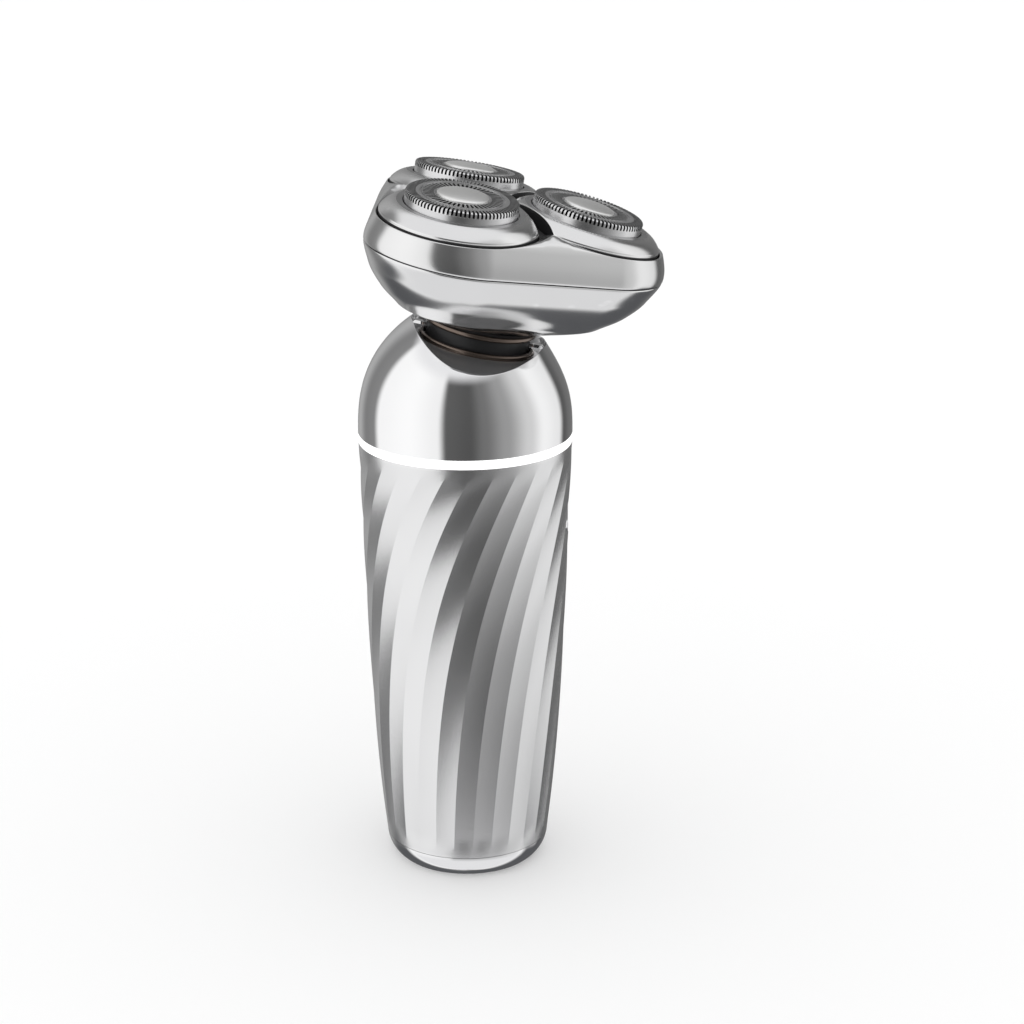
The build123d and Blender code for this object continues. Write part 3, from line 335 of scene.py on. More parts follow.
def runTree(piece, tree, values):
    # fills the named inputs by identifier and turns the result into a plain mesh
    modifier = piece.modifiers.new(tree.name, "NODES")
    modifier.node_group = tree
    for item in tree.interface.items_tree:
        if item.item_type == "SOCKET" and item.in_out == "INPUT" and item.name in values:
            modifier[item.identifier] = values[item.name]
    graph = bpy.context.evaluated_depsgraph_get()
    made = bpy.data.meshes.new_from_object(piece.evaluated_get(graph))
    piece.modifiers.remove(modifier)
    piece.data = made
    return made


def applyModifiers(piece):
    graph = bpy.context.evaluated_depsgraph_get()
    made = bpy.data.meshes.new_from_object(piece.evaluated_get(graph))
    piece.modifiers.clear()
    piece.data = made


# twisted grip
gripLook = dict(
    topRadius=22.95, taper=2.9, toeIn=2.15, facets=28, columnsPerFacet=6, rows=130,
    startAngle=5.6, twist=0.13, twistGrowth=4.67e-5, flute=0.045, wall=1.8,
    fadeBottom=0.055, fadeTop=0.06, holeRadius=4.6, holeHeight=79.8,
)


def buildGripTree():
    tree = newGeometryTree("twistedFacets", {
        "Bottom": ("NodeSocketFloat", 0.0), "Length": ("NodeSocketFloat", 90.0),
        "Top Radius": ("NodeSocketFloat", 23.0), "Taper": ("NodeSocketFloat", 3.0),
        "Toe In": ("NodeSocketFloat", 2.0), "Facets": ("NodeSocketInt", 28),
        "Columns": ("NodeSocketInt", 168), "Rows": ("NodeSocketInt", 100),
        "Start Angle": ("NodeSocketFloat", 0.0), "Twist": ("NodeSocketFloat", 0.1),
        "Twist Growth": ("NodeSocketFloat", 0.0), "Flute": ("NodeSocketFloat", 0.05),
        "Fade Bottom": ("NodeSocketFloat", 0.05), "Fade Top": ("NodeSocketFloat", 0.05),
        "Material": ("NodeSocketMaterial", None),
    })
    start = tree.nodes.new("NodeGroupInput").outputs
    grid = tree.nodes.new("GeometryNodeMeshGrid")
    feed(tree, grid.inputs["Size X"], 1.0)
    feed(tree, grid.inputs["Size Y"], 1.0)
    feed(tree, grid.inputs["Vertices X"], calc(tree, "ADD", start["Columns"], 1))
    feed(tree, grid.inputs["Vertices Y"], calc(tree, "ADD", start["Rows"], 1))
    place = tree.nodes.new("GeometryNodeInputPosition")
    parts = tree.nodes.new("ShaderNodeSeparateXYZ")
    tree.links.new(place.outputs[0], parts.inputs[0])
    around = calc(tree, "ADD", parts.outputs["X"], 0.5)
    up = calc(tree, "ADD", parts.outputs["Y"], 0.5)
    rest = calc(tree, "SUBTRACT", 1.0, up)
    height = calc(tree, "MULTIPLY_ADD", up, start["Length"], start["Bottom"])
    tapered = calc(tree, "SUBTRACT", start["Top Radius"], calc(tree, "MULTIPLY", start["Taper"], rest))
    corner = calc(tree, "SUBTRACT", tapered, calc(tree, "MULTIPLY", start["Toe In"], calc(tree, "POWER", rest, 4.0)))
    local = calc(tree, "FRACT", calc(tree, "MULTIPLY", around, start["Facets"]))
    halfAngle = calc(tree, "DIVIDE", math.pi, start["Facets"])
    offCentre = calc(tree, "MULTIPLY", calc(tree, "MULTIPLY_ADD", local, 2.0, -1.0), halfAngle)
    flat = calc(tree, "MULTIPLY", corner, calc(tree, "DIVIDE", calc(tree, "COSINE", halfAngle),
                                               calc(tree, "COSINE", offCentre)))
    hollow = calc(tree, "MULTIPLY", calc(tree, "MULTIPLY", local, calc(tree, "SUBTRACT", 1.0, local)), 4.0)
    fluted = calc(tree, "SUBTRACT", flat, calc(tree, "MULTIPLY", hollow, start["Flute"]))
    fades = []
    for distance, edge in ((up, "Fade Bottom"), (rest, "Fade Top")):
        fade = tree.nodes.new("ShaderNodeMapRange")
        fade.interpolation_type = "SMOOTHSTEP"
        feed(tree, fade.inputs["Value"], distance)
        feed(tree, fade.inputs["From Max"], start[edge])
        fades.append(fade.outputs["Result"])
    share = calc(tree, "MULTIPLY", *fades)
    radius = calc(tree, "MULTIPLY_ADD", calc(tree, "SUBTRACT", fluted, corner), share, corner)
    turnGrowth = calc(tree, "MULTIPLY", start["Twist Growth"], calc(tree, "POWER", height, 3.0))
    turn = calc(tree, "ADD", calc(tree, "MULTIPLY_ADD", height, start["Twist"], start["Start Angle"]), turnGrowth)
    angle = calc(tree, "RADIANS", calc(tree, "MULTIPLY_ADD", around, 360.0, turn))
    spot = tree.nodes.new("ShaderNodeCombineXYZ")
    for side, wave in (("X", "COSINE"), ("Y", "SINE")):
        unit = calc(tree, "MULTIPLY", calc(tree, wave, angle), mm)
        feed(tree, spot.inputs[side], calc(tree, "MULTIPLY", radius, unit))
    feed(tree, spot.inputs["Z"], calc(tree, "MULTIPLY", height, mm))
    move = tree.nodes.new("GeometryNodeSetPosition")
    realize = tree.nodes.new("GeometryNodeRealizeInstances")
    paint = tree.nodes.new("GeometryNodeSetMaterial")
    end = tree.nodes.new("NodeGroupOutput")
    tree.links.new(grid.outputs["Mesh"], move.inputs["Geometry"])
    tree.links.new(spot.outputs[0], move.inputs["Position"])
    tree.links.new(move.outputs[0], realize.inputs[0])
    tree.links.new(realize.outputs[0], paint.inputs["Geometry"])
    tree.links.new(start["Material"], paint.inputs["Material"])
    tree.links.new(paint.outputs[0], end.inputs[0])
    return tree


def makeGrip():
    low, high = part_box("grip_sleeve")
    look = gripLook
    skin = makeObject("gripSkin", bpy.data.meshes.new("gripSkin"))
    runTree(skin, buildGripTree(), {
        "Bottom": low[2] / mm, "Length": (high[2] - low[2]) / mm, "Top Radius": look["topRadius"],
        "Taper": look["taper"], "Toe In": look["toeIn"], "Facets": look["facets"],
        "Columns": look["facets"] * look["columnsPerFacet"], "Rows": look["rows"],
        "Start Angle": look["startAngle"], "Twist": look["twist"], "Twist Growth": look["twistGrowth"],
        "Flute": look["flute"], "Fade Bottom": look["fadeBottom"], "Fade Top": look["fadeTop"],
        "Material": materials["satin_metal"],
    })
    tidyMesh(skin.data, 7, merge=1e-6)
    wall = skin.modifiers.new("wall", "SOLIDIFY")
    wall.thickness = look["wall"] * mm
    wall.offset = -1
    plug = turned("buttonHolePlug", [(0, 0), (look["holeRadius"], 0), (look["holeRadius"], 12), (0, 12)],
                  Vector((0, -16 * mm, look["holeHeight"] * mm)), Vector((1, 0, 0)), Vector((0, -1, 0)), 64)
    hole = skin.modifiers.new("hole", "BOOLEAN")
    hole.operation = "DIFFERENCE"
    hole.object = plug
    hole.solver = "EXACT"
    applyModifiers(skin)
    bpy.data.objects.remove(plug)
    skin.data.shade_smooth()
    skin.data.set_sharp_from_angle(angle=math.radians(7))
    claim(skin, "handle", "grip_sleeve", materials["satin_metal"])


makeGrip()
print("grip made")

# upper casing, saddle, neck
casingLook = dict(
    bottom=97.8, top=119.856, lean=3.0, tilt=11.5, rimRadius=14.5, radius=23.0, wall=1.6,
    cutWidth=18.4, cutDepth=14.25, columns=240, rows=40, edge=0.22, leastEdge=0.12, leastLand=0.3, chamfer=0.15,
    cutFloor=-6.1, innerFloor=8.0,
)
saddleLook = dict(innerRadius=11.5, flatRadius=12.6, top=-0.6, slope=0.34, ease=0.4, gap=0.04,
                  columns=240, rows=18, floor=-4.5)


def casingPoint(share, angle):
    look = casingLook
    lean = math.radians(look["tilt"] * share ** 1.5)
    radius = look["rimRadius"] + (look["radius"] - look["rimRadius"]) * (1 - share ** 2.6)
    level = look["bottom"] + (look["top"] - look["bottom"]) * share
    x, y = polar(radius, angle)
    return Vector((x, -look["lean"] * share ** 3 + y * math.cos(lean), level + y * math.sin(lean))) * mm


def cutReach(point):
    # 1 on the elliptical cut, more outside it
    away = (point - headOrigin) / mm
    return (away.dot(headSide) / casingLook["cutWidth"]) ** 2 + (away.dot(headBack) / casingLook["cutDepth"]) ** 2


def cutEdge(angle, grow=0.0):
    # distance from the head's axis to the elliptical cut
    return 1 / math.sqrt((math.cos(angle) / (casingLook["cutWidth"] + grow)) ** 2
                         + (math.sin(angle) / (casingLook["cutDepth"] + grow)) ** 2)


def onCut(point):
    # the point moved square to the head's axis onto the elliptical cut
    away = (point - headOrigin) / mm
    angle = math.atan2(away.dot(headBack), away.dot(headSide))
    return headPoint(*polar(cutEdge(angle), angle), away.dot(headUp))


def makeCasing():
    look = casingLook
    columns = []
    for step in range(look["columns"]):
        angle = 2 * math.pi * step / look["columns"]
        low, high = 0.3, 1.0
        if cutReach(casingPoint(1, angle)) < 1:
            for _ in range(40):
                middle = (low + high) / 2
                if cutReach(casingPoint(middle, angle)) < 1:
                    high = middle
                else:
                    low = middle
        skin = [casingPoint(high * (1 - (1 - row / look["rows"]) ** 1.15), angle) for row in range(look["rows"] + 1)]
        lip = onCut(skin[-1])
        land = (lip - skin[-1]).length / mm
        roundReach = min(look["edge"], max(land * 0.45, look["leastEdge"]))
        edge = skin[-1]
        before = edge + (skin[-2] - edge).normalized() * roundReach * mm
        inward = (lip - edge).normalized() if land > look["leastLand"] else -headUp
        after = edge + inward * min(roundReach, max(land * 0.5, look["leastEdge"])) * mm
        column = skin[:-1]
        column += bend(before, edge, after, 4)
        if land > look["leastLand"]:
            column += [lip + (edge - lip).normalized() * look["chamfer"] * mm, lip - headUp * 0.05 * mm]
        else:
            column += [after - headUp * 0.05 * mm, after - headUp * 0.1 * mm]
        away = (lip - headOrigin) / mm
        drop = away.dot(headUp) - look["cutFloor"]
        column += [lip - headUp * drop * 0.5 * mm, lip - headUp * drop * mm]
        x, y = polar(look["radius"] - look["wall"], angle)
        column += [Vector((x, y, look["bottom"] + look["innerFloor"])) * mm, Vector((x, y, look["bottom"])) * mm]
        columns.append(column)
    rings = acrossColumns(columns)
    rings.append(rings[0])
    dome = ringsMesh("casingDome", rings, 35)
    claim(dome, "handle", "upper_casing", materials["polished_chrome"])


def saddleHeight(radius):
    look = saddleLook
    beyond = max(radius - look["flatRadius"], 0)
    return look["top"] - look["slope"] * (beyond - look["ease"] * (1 - math.exp(-beyond / look["ease"])))


def makeSaddle():
    look = saddleLook
    angles = [2 * math.pi * step / look["columns"] for step in range(look["columns"])]
    rings = []
    for row in range(look["rows"] + 1):
        ring = []
        for angle in angles:
            radius = look["innerRadius"] + (cutEdge(angle, -look["gap"]) - look["innerRadius"]) * row / look["rows"]
            ring.append(headPoint(*polar(radius, angle), saddleHeight(radius)))
        rings.append(ring)
    rings.append([headPoint(*polar(cutEdge(angle, -look["gap"]), angle), look["floor"]) for angle in angles])
    rings.append([headPoint(*polar(look["innerRadius"], angle), look["floor"]) for angle in angles])
    rings.append(rings[0])
    seat = ringsMesh("neckSaddle", rings, 40)
    # its dark tone is partly painted reflection of the black neck and the head's underside in the chrome dome
    claim(seat, "handle", "neck_saddle", materials["dark_gunmetal"])


neckLook = dict(
    ballRadius=11.2, pivot=0.8, skirt=-2.2, throat=3.1, ballRows=14, bore=9.9, top=7.7, segments=160,
    collar=((11.35, 3.75), (11.95, 4.35), (12.45, 4.8), (12.6, 4.95), (11.5, 5.0), (11.5, 6.5), (12.6, 6.5)),
    lowerRing=((11.5, -0.7), (12.55, -0.7), (12.6, 0.15), (12.25, 0.45), (11.5, 0.4), (11.5, -0.7)),
    upperRing=((11.0, 3.0), (11.85, 3.0), (12.2, 3.4), (12.15, 3.95), (11.85, 4.2), (11.2, 4.15), (11.0, 3.0)),
    lowerRound=0.22, upperRound=0.2,
)


def makeNeck():
    look = neckLook
    profile = [(look["bore"], look["skirt"])]
    for step in range(look["ballRows"] + 1):
        h = look["skirt"] + (look["throat"] - look["skirt"]) * step / look["ballRows"]
        profile.append((math.sqrt(look["ballRadius"] ** 2 - (h - look["pivot"]) ** 2), h))
    profile += [*look["collar"], (look["collar"][-1][0], look["top"]), (look["bore"], look["top"]), profile[0]]
    ball = turned("neckBall", profile, headOrigin, headSide, headUp, look["segments"])
    claim(ball, "shaving_head", "ball_neck", materials["black_plastic"])
    # the neck rings: glossy black, their bronze tint painted reflection
    lower = turned("lowerRing", softened(list(look["lowerRing"]), look["lowerRound"]),
                   headOrigin, headSide, headUp, look["segments"])
    claim(lower, "handle", "lower_neck_ring", materials["bronze_black"])
    upper = turned("upperRing", softened(list(look["upperRing"]), look["upperRound"]),
                   headOrigin, headSide, headUp, look["segments"])
    claim(upper, "shaving_head", "upper_neck_ring", materials["bronze_black"])


makeCasing()
makeSaddle()
makeNeck()
print("casing and neck made")

# light band
bandLook = dict(
    outline=((20.6, 95.8), (22.95, 95.8), (22.97, 96.0), (22.97, 97.5), (22.95, 97.7), (20.6, 97.7), (20.6, 95.8)),
    rounding=0.12, segments=200,
)


def makeBand():
    band = turned("lightBand", softened(list(bandLook["outline"]), bandLook["rounding"]),
                  Vector(), Vector((1, 0, 0)), Vector((0, 0, 1)), bandLook["segments"])
    claim(band, "handle", "light_ring", materials["light_diffuser"])


makeBand()
print("band made")

# head shells
headLook = dict(
    corner=17.4, lobe=18.4, columns=288, seam=20.6, seamGap=0.2, wall=1.5,
    domeHeight=31.4, domeCurve=0.0037, crown=19.0, pitch=17.25, petalTilt=5.0, petalHeight=30.6,
    pocket=17.0, crest=1.7, lip=0.25, frameColumns=432, edgeDrop=3.1, edgeSlope=0.55, pocketFloor=24.2,
    collarRadius=11.55, innerRadius=11.6, bottom=5.0, sideStart=5.2, shellRows=56, rowSpread=1.15,
    innerHeights=(17.0, 13.0, 10.0, 8.0, 6.9, 6.5), tallest=31.0, sideRows=22, landRows=8, searchStep=0.2,
    seamRound=0.12, leastLand=0.12, wallTop=23.8, wallInset=1.4,
    heights=(5, 8.305, 11.93, 16.055, 21.5, 26.57, 28.63, 30.69, 33.38),
    corners=(0.17, 0.77, 0.885, 0.93, 1, 1, 1, 1, 1),
    lobes=(0.58, 0.63, 0.79, 0.935, 1, 0.925, 0.86, 0.75, 0.5),
)
cutterAngles = [math.radians(-90 + 120 * index) for index in range(3)]


def monotone(xs, ys, x):
    # cubic through the points that never overshoots them
    count = len(xs)
    slopes = [(ys[i + 1] - ys[i]) / (xs[i + 1] - xs[i]) for i in range(count - 1)]
    tangents = [slopes[0]]
    for i in range(1, count - 1):
        if slopes[i - 1] * slopes[i] <= 0:
            tangents.append(0)
        else:
            left, right = xs[i] - xs[i - 1], xs[i + 1] - xs[i]
            pull = (2 * right + left) / slopes[i - 1] + (right + 2 * left) / slopes[i]
            tangents.append(3 * (left + right) / pull)
    tangents.append(slopes[-1])
    x = min(max(x, xs[0]), xs[-1])
    i = max(k for k in range(count - 1) if xs[k] <= x)
    width = xs[i + 1] - xs[i]
    t = (x - xs[i]) / width
    return ((2 * t ** 3 - 3 * t ** 2 + 1) * ys[i] + (t ** 3 - 2 * t ** 2 + t) * width * tangents[i]
            + (-2 * t ** 3 + 3 * t ** 2) * ys[i + 1] + (t ** 3 - t ** 2) * width * tangents[i + 1])


def outlineReach(angle, height, inset=0.0):
    # distance from the head's axis to the rounded triangle in one direction
    look = headLook
    corner = look["corner"] * monotone(look["heights"], look["corners"], height)
    lobe = look["lobe"] * monotone(look["heights"], look["lobes"], height) - inset
    off = min((((angle - a + math.pi) % (2 * math.pi)) - math.pi for a in cutterAngles), key=abs)
    third = math.radians(60)
    if abs(off) > math.atan2(lobe * math.sin(third), corner + lobe * math.cos(third)):
        return (corner / 2 + lobe) / math.cos(third - abs(off))
    return corner * math.cos(off) + math.sqrt(max(lobe ** 2 - (corner * math.sin(off)) ** 2, 0))


def domeTop(radius):
    return headLook["domeHeight"] - headLook["domeCurve"] * radius ** 2


def petalFrame(number):
    # origin, outward, sideways and axis of one petal
    angle = cutterAngles[number]
    outward = headSide * math.cos(angle) + headBack * math.sin(angle)
    tilt = math.radians(headLook["petalTilt"])
    axis = headUp * math.cos(tilt) + outward * math.sin(tilt)
    across = headUp.cross(outward)
    origin = headOrigin + (outward * headLook["pitch"] + headUp * headLook["petalHeight"]) * mm
    return origin, outward * math.cos(tilt) - headUp * math.sin(tilt), across, axis


petalFrames = [petalFrame(number) for number in range(3)]


def pocketDistance(point):
    # distance to the nearest petal axis, in millimetres
    best = 1e9
    for origin, _, _, axis in petalFrames:
        away = (point - origin) / mm
        best = min(best, (away - axis * away.dot(axis)).length)
    return best


def makeLowerShell():
    look = headLook
    steps = look["columns"]
    angles = [2 * math.pi * step / steps for step in range(steps)]
    top = look["seam"] - look["seamGap"]
    collarHeights = (look["innerHeights"][-1], look["bottom"])
    rings = [[headPoint(*polar(look["collarRadius"], a), h) for a in angles] for h in collarHeights]
    for inset, height in ((0.5, look["bottom"]), (0.15, look["bottom"] + 0.05), (0.0, look["sideStart"])):
        rings.append([headPoint(*polar(outlineReach(a, height, inset), a), height) for a in angles])
    for row in range(1, look["shellRows"] + 1):
        share = (row / look["shellRows"]) ** look["rowSpread"]
        height = look["sideStart"] + (top - look["lip"] - look["sideStart"]) * share
        rings.append([headPoint(*polar(outlineReach(a, height), a), height) for a in angles])
    for inset, height in ((0.03, top - 0.12), (0.12, top - 0.03), (0.3, top), (look["wall"], top)):
        rings.append([headPoint(*polar(outlineReach(a, height, inset), a), height) for a in angles])
    for height in look["innerHeights"]:
        reaches = [max(outlineReach(a, height, look["wall"]), look["innerRadius"]) for a in angles]
        rings.append([headPoint(*polar(reach, a), height) for reach, a in zip(reaches, angles)])
    rings.append(rings[0])
    shell = ringsMesh("headShell", rings, 40)
    claim(shell, "shaving_head", "head_lower_shell", materials["satin_chrome"])


def landHeight(radius, angle):
    # the frame's top: a shallow dome that falls to the petals' edges around each pocket
    look = headLook
    height = domeTop(radius)
    point = headPoint(*polar(radius, angle), height)
    for origin, outward, _, axis in petalFrames:
        away = (point - origin) / mm
        flat = away - axis * away.dot(axis)
        edge = look["petalHeight"] - look["edgeDrop"] - flat.dot(outward) * math.sin(math.radians(look["petalTilt"]))
        height = min(height, edge + max(flat.length - look["pocket"], 0) * look["edgeSlope"])
    return height


def makeFrame():
    look = headLook
    columns = []
    for step in range(look["frameColumns"]):
        angle = 2 * math.pi * step / look["frameColumns"]
        low, high = look["seam"], look["tallest"]
        for _ in range(30):
            middle = (low + high) / 2
            reach = outlineReach(angle, middle)
            point = headPoint(*polar(reach, angle), middle)
            if middle > landHeight(reach, angle) or pocketDistance(point) < look["pocket"]:
                high = middle
            else:
                low = middle
        topHeight, topReach = low, outlineReach(angle, low)
        top = headPoint(*polar(topReach, angle), topHeight)
        # the land runs inwards until it meets a pocket or the opening in the middle
        outer, inner = topReach, look["crown"]
        reach = topReach
        while reach > look["crown"]:
            if pocketDistance(headPoint(*polar(reach, angle), landHeight(reach, angle))) < look["pocket"]:
                inner = reach
                break
            outer = reach
            reach -= look["searchStep"]
        for _ in range(12 if inner > look["crown"] else 0):
            middle = (outer + inner) / 2
            if pocketDistance(headPoint(*polar(middle, angle), landHeight(middle, angle))) < look["pocket"]:
                inner = middle
            else:
                outer = middle
        inner = min(inner, topReach - look["leastLand"])
        innerPoint = headPoint(*polar(inner, angle), min(landHeight(inner, angle), topHeight + 4))
        away = [(innerPoint - petal[0]) / mm for petal in petalFrames]
        reaches = [(vector - petal[3] * vector.dot(petal[3])).length for vector, petal in zip(away, petalFrames)]
        nearest = petalFrames[reaches.index(min(reaches))]
        down = -nearest[3] if min(reaches) < look["pocket"] + 0.25 else -headUp
        land = topReach - inner
        crest = min(look["crest"], land * 0.5)
        lip = min(look["lip"], land * 0.25)
        start = look["seam"] + look["seamRound"]
        rise = topHeight - crest * 0.8 - look["seam"] - look["seamRound"]
        heightsUp = [start + rise * row / look["sideRows"] for row in range(look["sideRows"] + 1)]
        column = [headPoint(*polar(outlineReach(angle, look["seam"], look["wallInset"]), angle), look["seam"]),
                  headPoint(*polar(outlineReach(angle, look["seam"], 0.3), angle), look["seam"]),
                  headPoint(*polar(outlineReach(angle, look["seam"], 0.04), angle), look["seam"] + 0.04)]
        column += [headPoint(*polar(outlineReach(angle, h), angle), h) for h in heightsUp]
        first, last = topReach - crest, inner + lip
        over = []
        for row in range(look["landRows"] + 1):
            radius = first + (last - first) * row / look["landRows"]
            over.append(headPoint(*polar(radius, angle), landHeight(radius, angle)))
        column += bend(column[-1], top, over[0], 6)[1:] + over[1:]
        column += bend(over[-1], innerPoint, innerPoint + down * max(lip, 0.08) * mm, 3)[1:]
        wallTop = column[-1]
        drop = ((wallTop - headOrigin).dot(headUp) / mm - look["pocketFloor"]) / -down.dot(headUp)
        column += [wallTop + down * mm, wallTop + down * max(drop, 1.2) * mm,
                   headPoint(*polar(outlineReach(angle, look["wallTop"], look["wallInset"]), angle), look["wallTop"])]
        columns.append(column)
    rings = acrossColumns(columns)
    rings.append(rings[0])
    shell = ringsMesh("headFrame", rings, 38)
    claim(shell, "cutter_frame", "head_frame", materials["satin_chrome"])
    # black for the inner walls: painted shade
    shell.data.materials.append(materials["black_plastic"])
    for face in shell.data.polygons:
        # the walls of the pockets and of the opening in the middle are painted black: painted shade in the gaps round
        # the petals
        outwards = face.center - headOrigin
        outwards -= headUp * outwards.dot(headUp)
        level = (face.center - headOrigin).dot(headUp) / mm
        if face.normal.dot(headUp) < 0.3 and face.normal.dot(outwards.normalized()) < -0.2 and level > 22:
            face.material_index = 1


makeLowerShell()
makeFrame()
print("head shells made")

# petals
petalLook = dict(hole=12.1, ring=13.5, outer=16.7, fall=2.4, skirt=3.4, wall=0.8, apex=0.866, spread=56.2,
                 under=1.2, edgeRound=0.22, columns=240, slopeRows=14)


def petalReach(turn):
    look = petalLook
    back = headLook["pitch"] - look["apex"]
    slope = math.tan(math.radians(look["spread"]))
    lean = abs(math.sin(turn)) - slope * math.cos(turn)
    return min(look["outer"], back * slope / lean) if lean > 0 else look["outer"]


def petalFall(radius):
    # flat top ring, then a slope that grows steeper towards the side
    look = petalLook
    share = max(radius - look["ring"], 0) / (look["outer"] - look["ring"])
    return -look["fall"] * (0.42 * share + 0.58 * share ** 2.4)


def makePetal(number):
    look = petalLook
    origin, outward, across, axis = petalFrames[number]
    columns = []
    for step in range(look["columns"]):
        turn = 2 * math.pi * step / look["columns"]
        side = outward * math.cos(turn) + across * math.sin(turn)
        reach = petalReach(turn)
        profile = [(look["hole"], -look["under"]), (look["hole"], -0.1)]
        profile += [(look["hole"] + 0.03, -0.03), (look["hole"] + 0.1, 0)]
        profile += [(look["ring"] - look["edgeRound"], 0.0), (look["ring"] - 0.08, -0.012), (look["ring"] + 0.02, -0.05)]
        for row in range(1, look["slopeRows"] + 1):
            radius = look["ring"] + 0.02 + (reach - look["edgeRound"] - look["ring"] - 0.02) * row / look["slopeRows"]
            profile.append((radius, petalFall(radius) - 0.03))
        endFall = petalFall(reach)
        profile += [(reach - 0.1, endFall - 0.02), (reach - 0.02, endFall - 0.1), (reach, endFall - 0.25)]
        floor = -look["skirt"]
        profile += [(reach, (endFall + floor) / 2), (reach, floor), (reach - look["wall"], floor),
                    (reach - look["wall"], min(endFall, -look["under"]) - 0.2), (look["ring"] - 0.6, -look["under"]),
                    (look["hole"], -look["under"])]
        columns.append([origin + (side * r + axis * h) * mm for r, h in profile])
    rings = acrossColumns(columns)
    petal = ringsMesh(f"petal{number + 1}", rings, 11)
    claim(petal, f"petal_{number + 1}", f"petal_{number + 1}", materials["satin_chrome"])
    petal.data.materials.append(materials["ring_steel_painted_shade"])
    petal.data.materials.append(materials["black_plastic"])
    for face in petal.data.polygons:
        away = (face.center - origin) / mm
        height = away.dot(axis)
        flat = away - axis * height
        reach = petalReach(math.atan2(flat.dot(across), flat.dot(outward)))
        # the flat ring takes the darker steel, painted shade
        if flat.length < look["ring"] - 0.1 and height > -0.2:
            face.material_index = 1
        # the lower side wall takes black: painted shadow in the gap to the frame
        elif flat.length > reach - 0.05 and height < petalFall(reach) - 0.2:
            face.material_index = 2


for number in range(3):
    makePetal(number)
print("petals made")

# cutters
cutterLook = dict(radius=11.8, top=2.4, rim=0.6, outerSlots=84, outerSlotWidth=0.46, outerStart=9.7, skirt=1.3,
                  innerSlots=50, innerSlotWidth=0.46, innerStart=6.0, innerEnd=8.25, thick=0.4,
                  overlap=0.1, innerTurn=0.03, wall=0.6, flange=(13.4, -1.35, -2.05), groove=(8.45, 8.85, 0.45),
                  capSeat=(4.9, 5.75, 0.4))


def barMesh(name, profile, slots, slotWidth):
    # one bar between two slots, in the cutter's own axes: profile of (r, h), spread to leave the slot's width
    points, faces = [], []
    count = len(profile)
    for r, h in profile:
        half = math.pi / slots - math.asin(slotWidth / 2 / r)
        for turn in (-half, half):
            x, y = polar(r * mm, turn)
            points.append((x, y, h * mm))
    for index in range(count):
        following = (index + 1) % count
        faces.append((2 * index, 2 * index + 1, 2 * following + 1, 2 * following))
    faces.append(tuple(2 * index for index in range(count)))
    faces.append(tuple(2 * index + 1 for index in reversed(range(count))))
    return makeObject(name, meshFrom(name, points, faces))


def buildRepeatTree():
    tree = newGeometryTree("slotRepeat", {
        "Count": ("NodeSocketInt", 60), "Start Angle": ("NodeSocketFloat", 0.0),
        "Material": ("NodeSocketMaterial", None),
    })
    start = tree.nodes.new("NodeGroupInput").outputs
    points = tree.nodes.new("GeometryNodePoints")
    tree.links.new(start["Count"], points.inputs["Count"])
    index = tree.nodes.new("GeometryNodeInputIndex")
    step = calc(tree, "DIVIDE", 2 * math.pi, start["Count"])
    turn = calc(tree, "MULTIPLY_ADD", index.outputs[0], step, start["Start Angle"])
    spin = tree.nodes.new("ShaderNodeCombineXYZ")
    feed(tree, spin.inputs["Z"], turn)
    copies = tree.nodes.new("GeometryNodeInstanceOnPoints")
    realize = tree.nodes.new("GeometryNodeRealizeInstances")
    paint = tree.nodes.new("GeometryNodeSetMaterial")
    end = tree.nodes.new("NodeGroupOutput")
    tree.links.new(points.outputs[0], copies.inputs["Points"])
    tree.links.new(start["Geometry"], copies.inputs["Instance"])
    tree.links.new(spin.outputs[0], copies.inputs["Rotation"])
    tree.links.new(copies.outputs[0], realize.inputs[0])
    tree.links.new(realize.outputs[0], paint.inputs["Geometry"])
    tree.links.new(start["Material"], paint.inputs["Material"])
    tree.links.new(paint.outputs[0], end.inputs[0])
    return tree


repeatTree = buildRepeatTree()


def localTurned(name, profile, segments=144):
    return turned(name, profile, Vector(), Vector((1, 0, 0)), Vector((0, 0, 1)), segments)


def joined(name, pieces):
    shape = bmesh.new()
    for piece in pieces:
        shape.from_mesh(piece.data)
        bpy.data.objects.remove(piece)
    mesh = bpy.data.meshes.new(name)
    bmesh.ops.recalc_face_normals(shape, faces=shape.faces)
    shape.to_mesh(mesh)
    shape.free()
    mesh.shade_smooth()
    mesh.set_sharp_from_angle(angle=math.radians(30))
    return makeObject(name, mesh)


